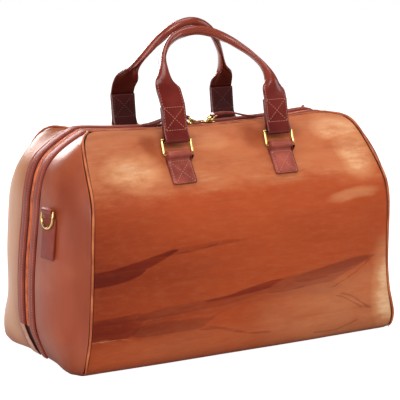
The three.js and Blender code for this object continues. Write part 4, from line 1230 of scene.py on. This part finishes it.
def handle_stations(rows, side, roll_lower):
    """Places along a handle in millimetres, each with its run, its outer side and its (roll, slim, pressed)."""
    bar = Vector((RING_BAR["x"], side * RING_BAR["out"], RING_BAR["z"]))
    half = [Vector((row[0], side * row[1], row[2])) for row in rows]
    strap_up = (half[0] - bar).normalized()
    strap_out = across_plane(Vector((0, side, 0)), strap_up)
    ply = (STRAP_THICK + PLY_GAP) / 2
    fold_r = RING_WIRE_R / MM + FOLD_SLACK + STRAP_THICK / 2
    half[0] = half[0] + strap_out * ply
    flat = Vector((0, 1, 1))
    leg = [(bar - strap_out * ply + strap_up * height, -strap_up, -strap_out, flat)
           for height in (STRAP_END, STRAP_MIDDLE, STRAP_NECK)]
    for k in range(FOLD_TURNS + 1):
        turn = math.pi * (1 + k / FOLD_TURNS)
        out = strap_out * math.cos(turn) + strap_up * math.sin(turn)
        along = strap_up * math.cos(turn) - strap_out * math.sin(turn)
        leg.append((bar + out * fold_r, along, out, flat))
    for height in (STRAP_NECK, STRAP_MIDDLE, (half[0] - bar).dot(strap_up)):
        leg.append((bar + strap_out * ply + strap_up * height, strap_up, strap_out, flat))

    whole = both_halves(half)
    forms = [Vector(row[3:]) for row in rows]
    forms = forms + forms[-2::-1]
    focus = Vector((0, side * rows[4][1], GRIP_FOCUS_Z))
    count = (len(whole) - 1) * HANDLE_STEPS
    arch = []
    for k in range(1, count):
        at = k / HANDLE_STEPS
        point = curve_point(whole, at)
        along = (curve_point(whole, at + 0.01) - curve_point(whole, at - 0.01)).normalized()
        form = curve_point(forms, at + roll_lower * max(0, 1 - at / (len(rows) - 1)))
        form.x = min(1, max(0, form.x))
        flat_out = across_plane(Vector((0, side, 0)), along)
        arch_out = across_plane(point - focus, along)
        lean = GRIP_LEAN * form.x * (1 - min(1, abs(point.x) / LEAN_FROM_X)) ** LEAN_POWER
        arch.append((point, along, across_plane(flat_out.lerp(arch_out, lean), along), form))
    other_leg = [(flipped(point), -flipped(along), flipped(out), form) for point, along, out, form in reversed(leg)]
    return leg, arch, other_leg


X_AXIS = Vector((1, 0, 0))
inner_thread = waxed_thread("dark thread", INNER_THREAD, INNER_MAROON)
handle_leather = burgundy_leather("handle leather", STRAP_DEEP, STRAP_WARM, 0.28, INNER_MAROON, GRIP_WARM)
for face, side in FACES:
    leg, arch, other_leg = handle_stations(HANDLES[face], side, ROLL_LOWER[face])
    stations = leg + arch + other_leg
    rings = []
    for point, along, out, form in stations:
        across = along.cross(out)
        rings.append([point + across * a + out * o for a, o in strap_section(*form)])
    handle = lofted(face + "_rolled_handle", rings)
    inner_side = handle.data.attributes.new("inner_side", "FLOAT", "POINT")
    rolled = handle.data.attributes.new("rolled", "FLOAT", "POINT")
    for vertex in handle.data.vertices:
        roll = stations[vertex.index // len(rings[0])][3].x
        rolled.data[vertex.index].value = roll
        inner_side.data[vertex.index].value = max(0, -side * vertex.normal.y) ** 0.5 * (1 - roll)
    finish_piece(handle, handle_leather, "bag", "burgundy_leather", face + "_handle")

    strap_up, strap_out = leg[-1][1:3]
    skin = STRAP_THICK + PLY_GAP / 2
    reach = X_AXIS * (STRAP_WIDTH / 2 - STRAP_SEAM_IN)
    seams = {1: [], -1: []}
    for end in (-1, 1):
        bar = Vector((end * RING_BAR["x"], side * RING_BAR["out"], RING_BAR["z"]))
        for outward, rows in seams.items():
            turn = strap_out * outward
            foot, top = (bar + turn * skin + strap_up * height for height in BOX_ABOVE_BAR)
            corners = (foot - reach, foot + reach, top + reach, top - reach)
            rows += [[(a * MM, turn), (b * MM, turn)] for a, b in box_and_cross(corners)]
        funnel = arch if end > 0 else [(point, -along, out, form) for point, along, out, form in reversed(arch)]
        for edge in (-1, 1):
            route = [((bar + strap_out * skin + strap_up * BOX_ABOVE_BAR[1] + reach * edge) * MM, strap_out)]
            for point, along, out, (roll, slim, pressed) in funnel:
                if roll > FUNNEL_TO_ROLL:
                    break
                share = edge * (0.5 - STRAP_SEAM_IN / strap_spread(roll))
                over, rise = strap_spot(roll, share, strap_half_thick(roll))
                over_more, rise_more = strap_spot(roll, share, strap_half_thick(roll) + 1)
                across = X_AXIS if abs(X_AXIS.dot(out)) < 0.5 else along.cross(out)
                across = across_plane(across - out * across.dot(out), along)
                turn = across * (over_more - over) * pressed + out * (rise_more - rise) * slim
                route.append(((point + across * over * slim + out * rise * pressed) * MM, turn.normalized()))
            seams[1].append(route)
    sewn(face + "_handle_stitches", seams[1])
    sewn(face + "_handle_inner_stitches", seams[-1], yarn=inner_thread)

    grip = [station for station in arch if station[3].x > GRIP_FROM_ROLL][FIN_START:-FIN_START]
    fin_rings = []
    fin_route = []
    for k, (point, along, out, form) in enumerate(grip):
        near_end = min(k, len(grip) - 1 - k) / FIN_RISES_OVER
        reach = FIN_REACH[0] + (FIN_REACH[1] - FIN_REACH[0]) * min(1, near_end)
        across = along.cross(out) * (FIN_THICK / 2)
        section = ((1, FIN_REACH[0]), (1, reach - FIN_EDGE), (0.5, reach),
                   (-0.5, reach), (-1, reach - FIN_EDGE), (-1, FIN_REACH[0]))
        fin_rings.append([point - out * down + across * over for over, down in section])
        if near_end > FIN_SEAM_FROM:
            fin_route.append((point - out * (reach - FIN_SEAM_IN), across))
    fin = lofted(face + "_handle_fin", fin_rings)
    finish_piece(fin, handle_leather, "bag", "burgundy_leather")
    fin_rows = [[((point + across * turn) * MM, across.normalized() * turn) for point, across in fin_route]
                for turn in (1, -1)]
    sewn(face + "_handle_fin_stitches", fin_rows)


# The D-rings. A brass D-ring hangs on each end from a loop of burgundy leather, whose strip is sewn down the
# gusset below it.
STRIP_ROUNDING = 0.6 * MM
D_WIRE_R = 1.5 * MM
D_HALF = 11.7 * MM
D_HEIGHT = 20.5 * MM
D_LEVEL_WITHIN = 0.01 * MM
D_BAR = {
    "middle": (-0.241769, -0.056285, 0.195032),
    "along": (-0.14077, 0.99004, 0.0),
    "up": (0.0941, 0.0134, 0.9955),
}


def bent_d(name):
    """The middle line of a D-ring that lies flat, with its bar on the X axis and its bow below it."""
    bpy.ops.object.select_all(action="DESELECT")
    bpy.ops.mesh.primitive_circle_add(vertices=64, radius=D_HALF)
    bow = bpy.context.object
    bow.name = name
    bpy.ops.object.mode_set(mode="EDIT")
    bpy.ops.mesh.select_mode(type="VERT")
    bpy.ops.mesh.select_all(action="DESELECT")
    bpy.ops.object.mode_set(mode="OBJECT")
    for vertex in bow.data.vertices:
        vertex.select = vertex.co.y > D_LEVEL_WITHIN
    bpy.ops.object.mode_set(mode="EDIT")
    bpy.ops.mesh.delete(type="VERT")
    bpy.ops.mesh.select_all(action="SELECT")
    bpy.ops.transform.translate(value=(0, D_HALF - D_HEIGHT, 0))
    bpy.ops.mesh.select_all(action="DESELECT")
    bpy.ops.object.mode_set(mode="OBJECT")
    top = max(vertex.co.y for vertex in bow.data.vertices)
    for vertex in bow.data.vertices:
        vertex.select = vertex.co.y > top - D_LEVEL_WITHIN
    bpy.ops.object.mode_set(mode="EDIT")
    bpy.ops.mesh.extrude_region_move(TRANSFORM_OT_translate={"value": (0, D_HEIGHT - D_HALF, 0)})
    bpy.ops.mesh.edge_face_add()
    bpy.ops.object.mode_set(mode="OBJECT")
    return bow


for end, outward in ENDS:
    for part in ("strip", "loop"):
        strap = rounded_edges(merged_copy(f"{end}_ring_{part}", f"{end}_leather_{part}"), STRIP_ROUNDING)
        # The strip and loop wear the trim leather, whose lighter burgundy is partly painted light.
        finish_piece(strap, trim_leather, "bag", "burgundy_leather", f"{end}_ring_{part}")
    bow = bent_d(end + "_brass_d_ring")
    half_turn = Vector((-outward, -outward, 1))
    along = Vector(D_BAR["along"]) * half_turn
    up = Vector(D_BAR["up"]) * half_turn
    place = Matrix((along, up, along.cross(up))).transposed().to_4x4()
    bow.data.transform(Matrix.Translation(Vector(D_BAR["middle"]) * half_turn) @ place)
    d_ring = thickened(bow, D_WIRE_R)
    finish_piece(d_ring, brass, end + "_d_ring", "brass", end + "_d_ring")
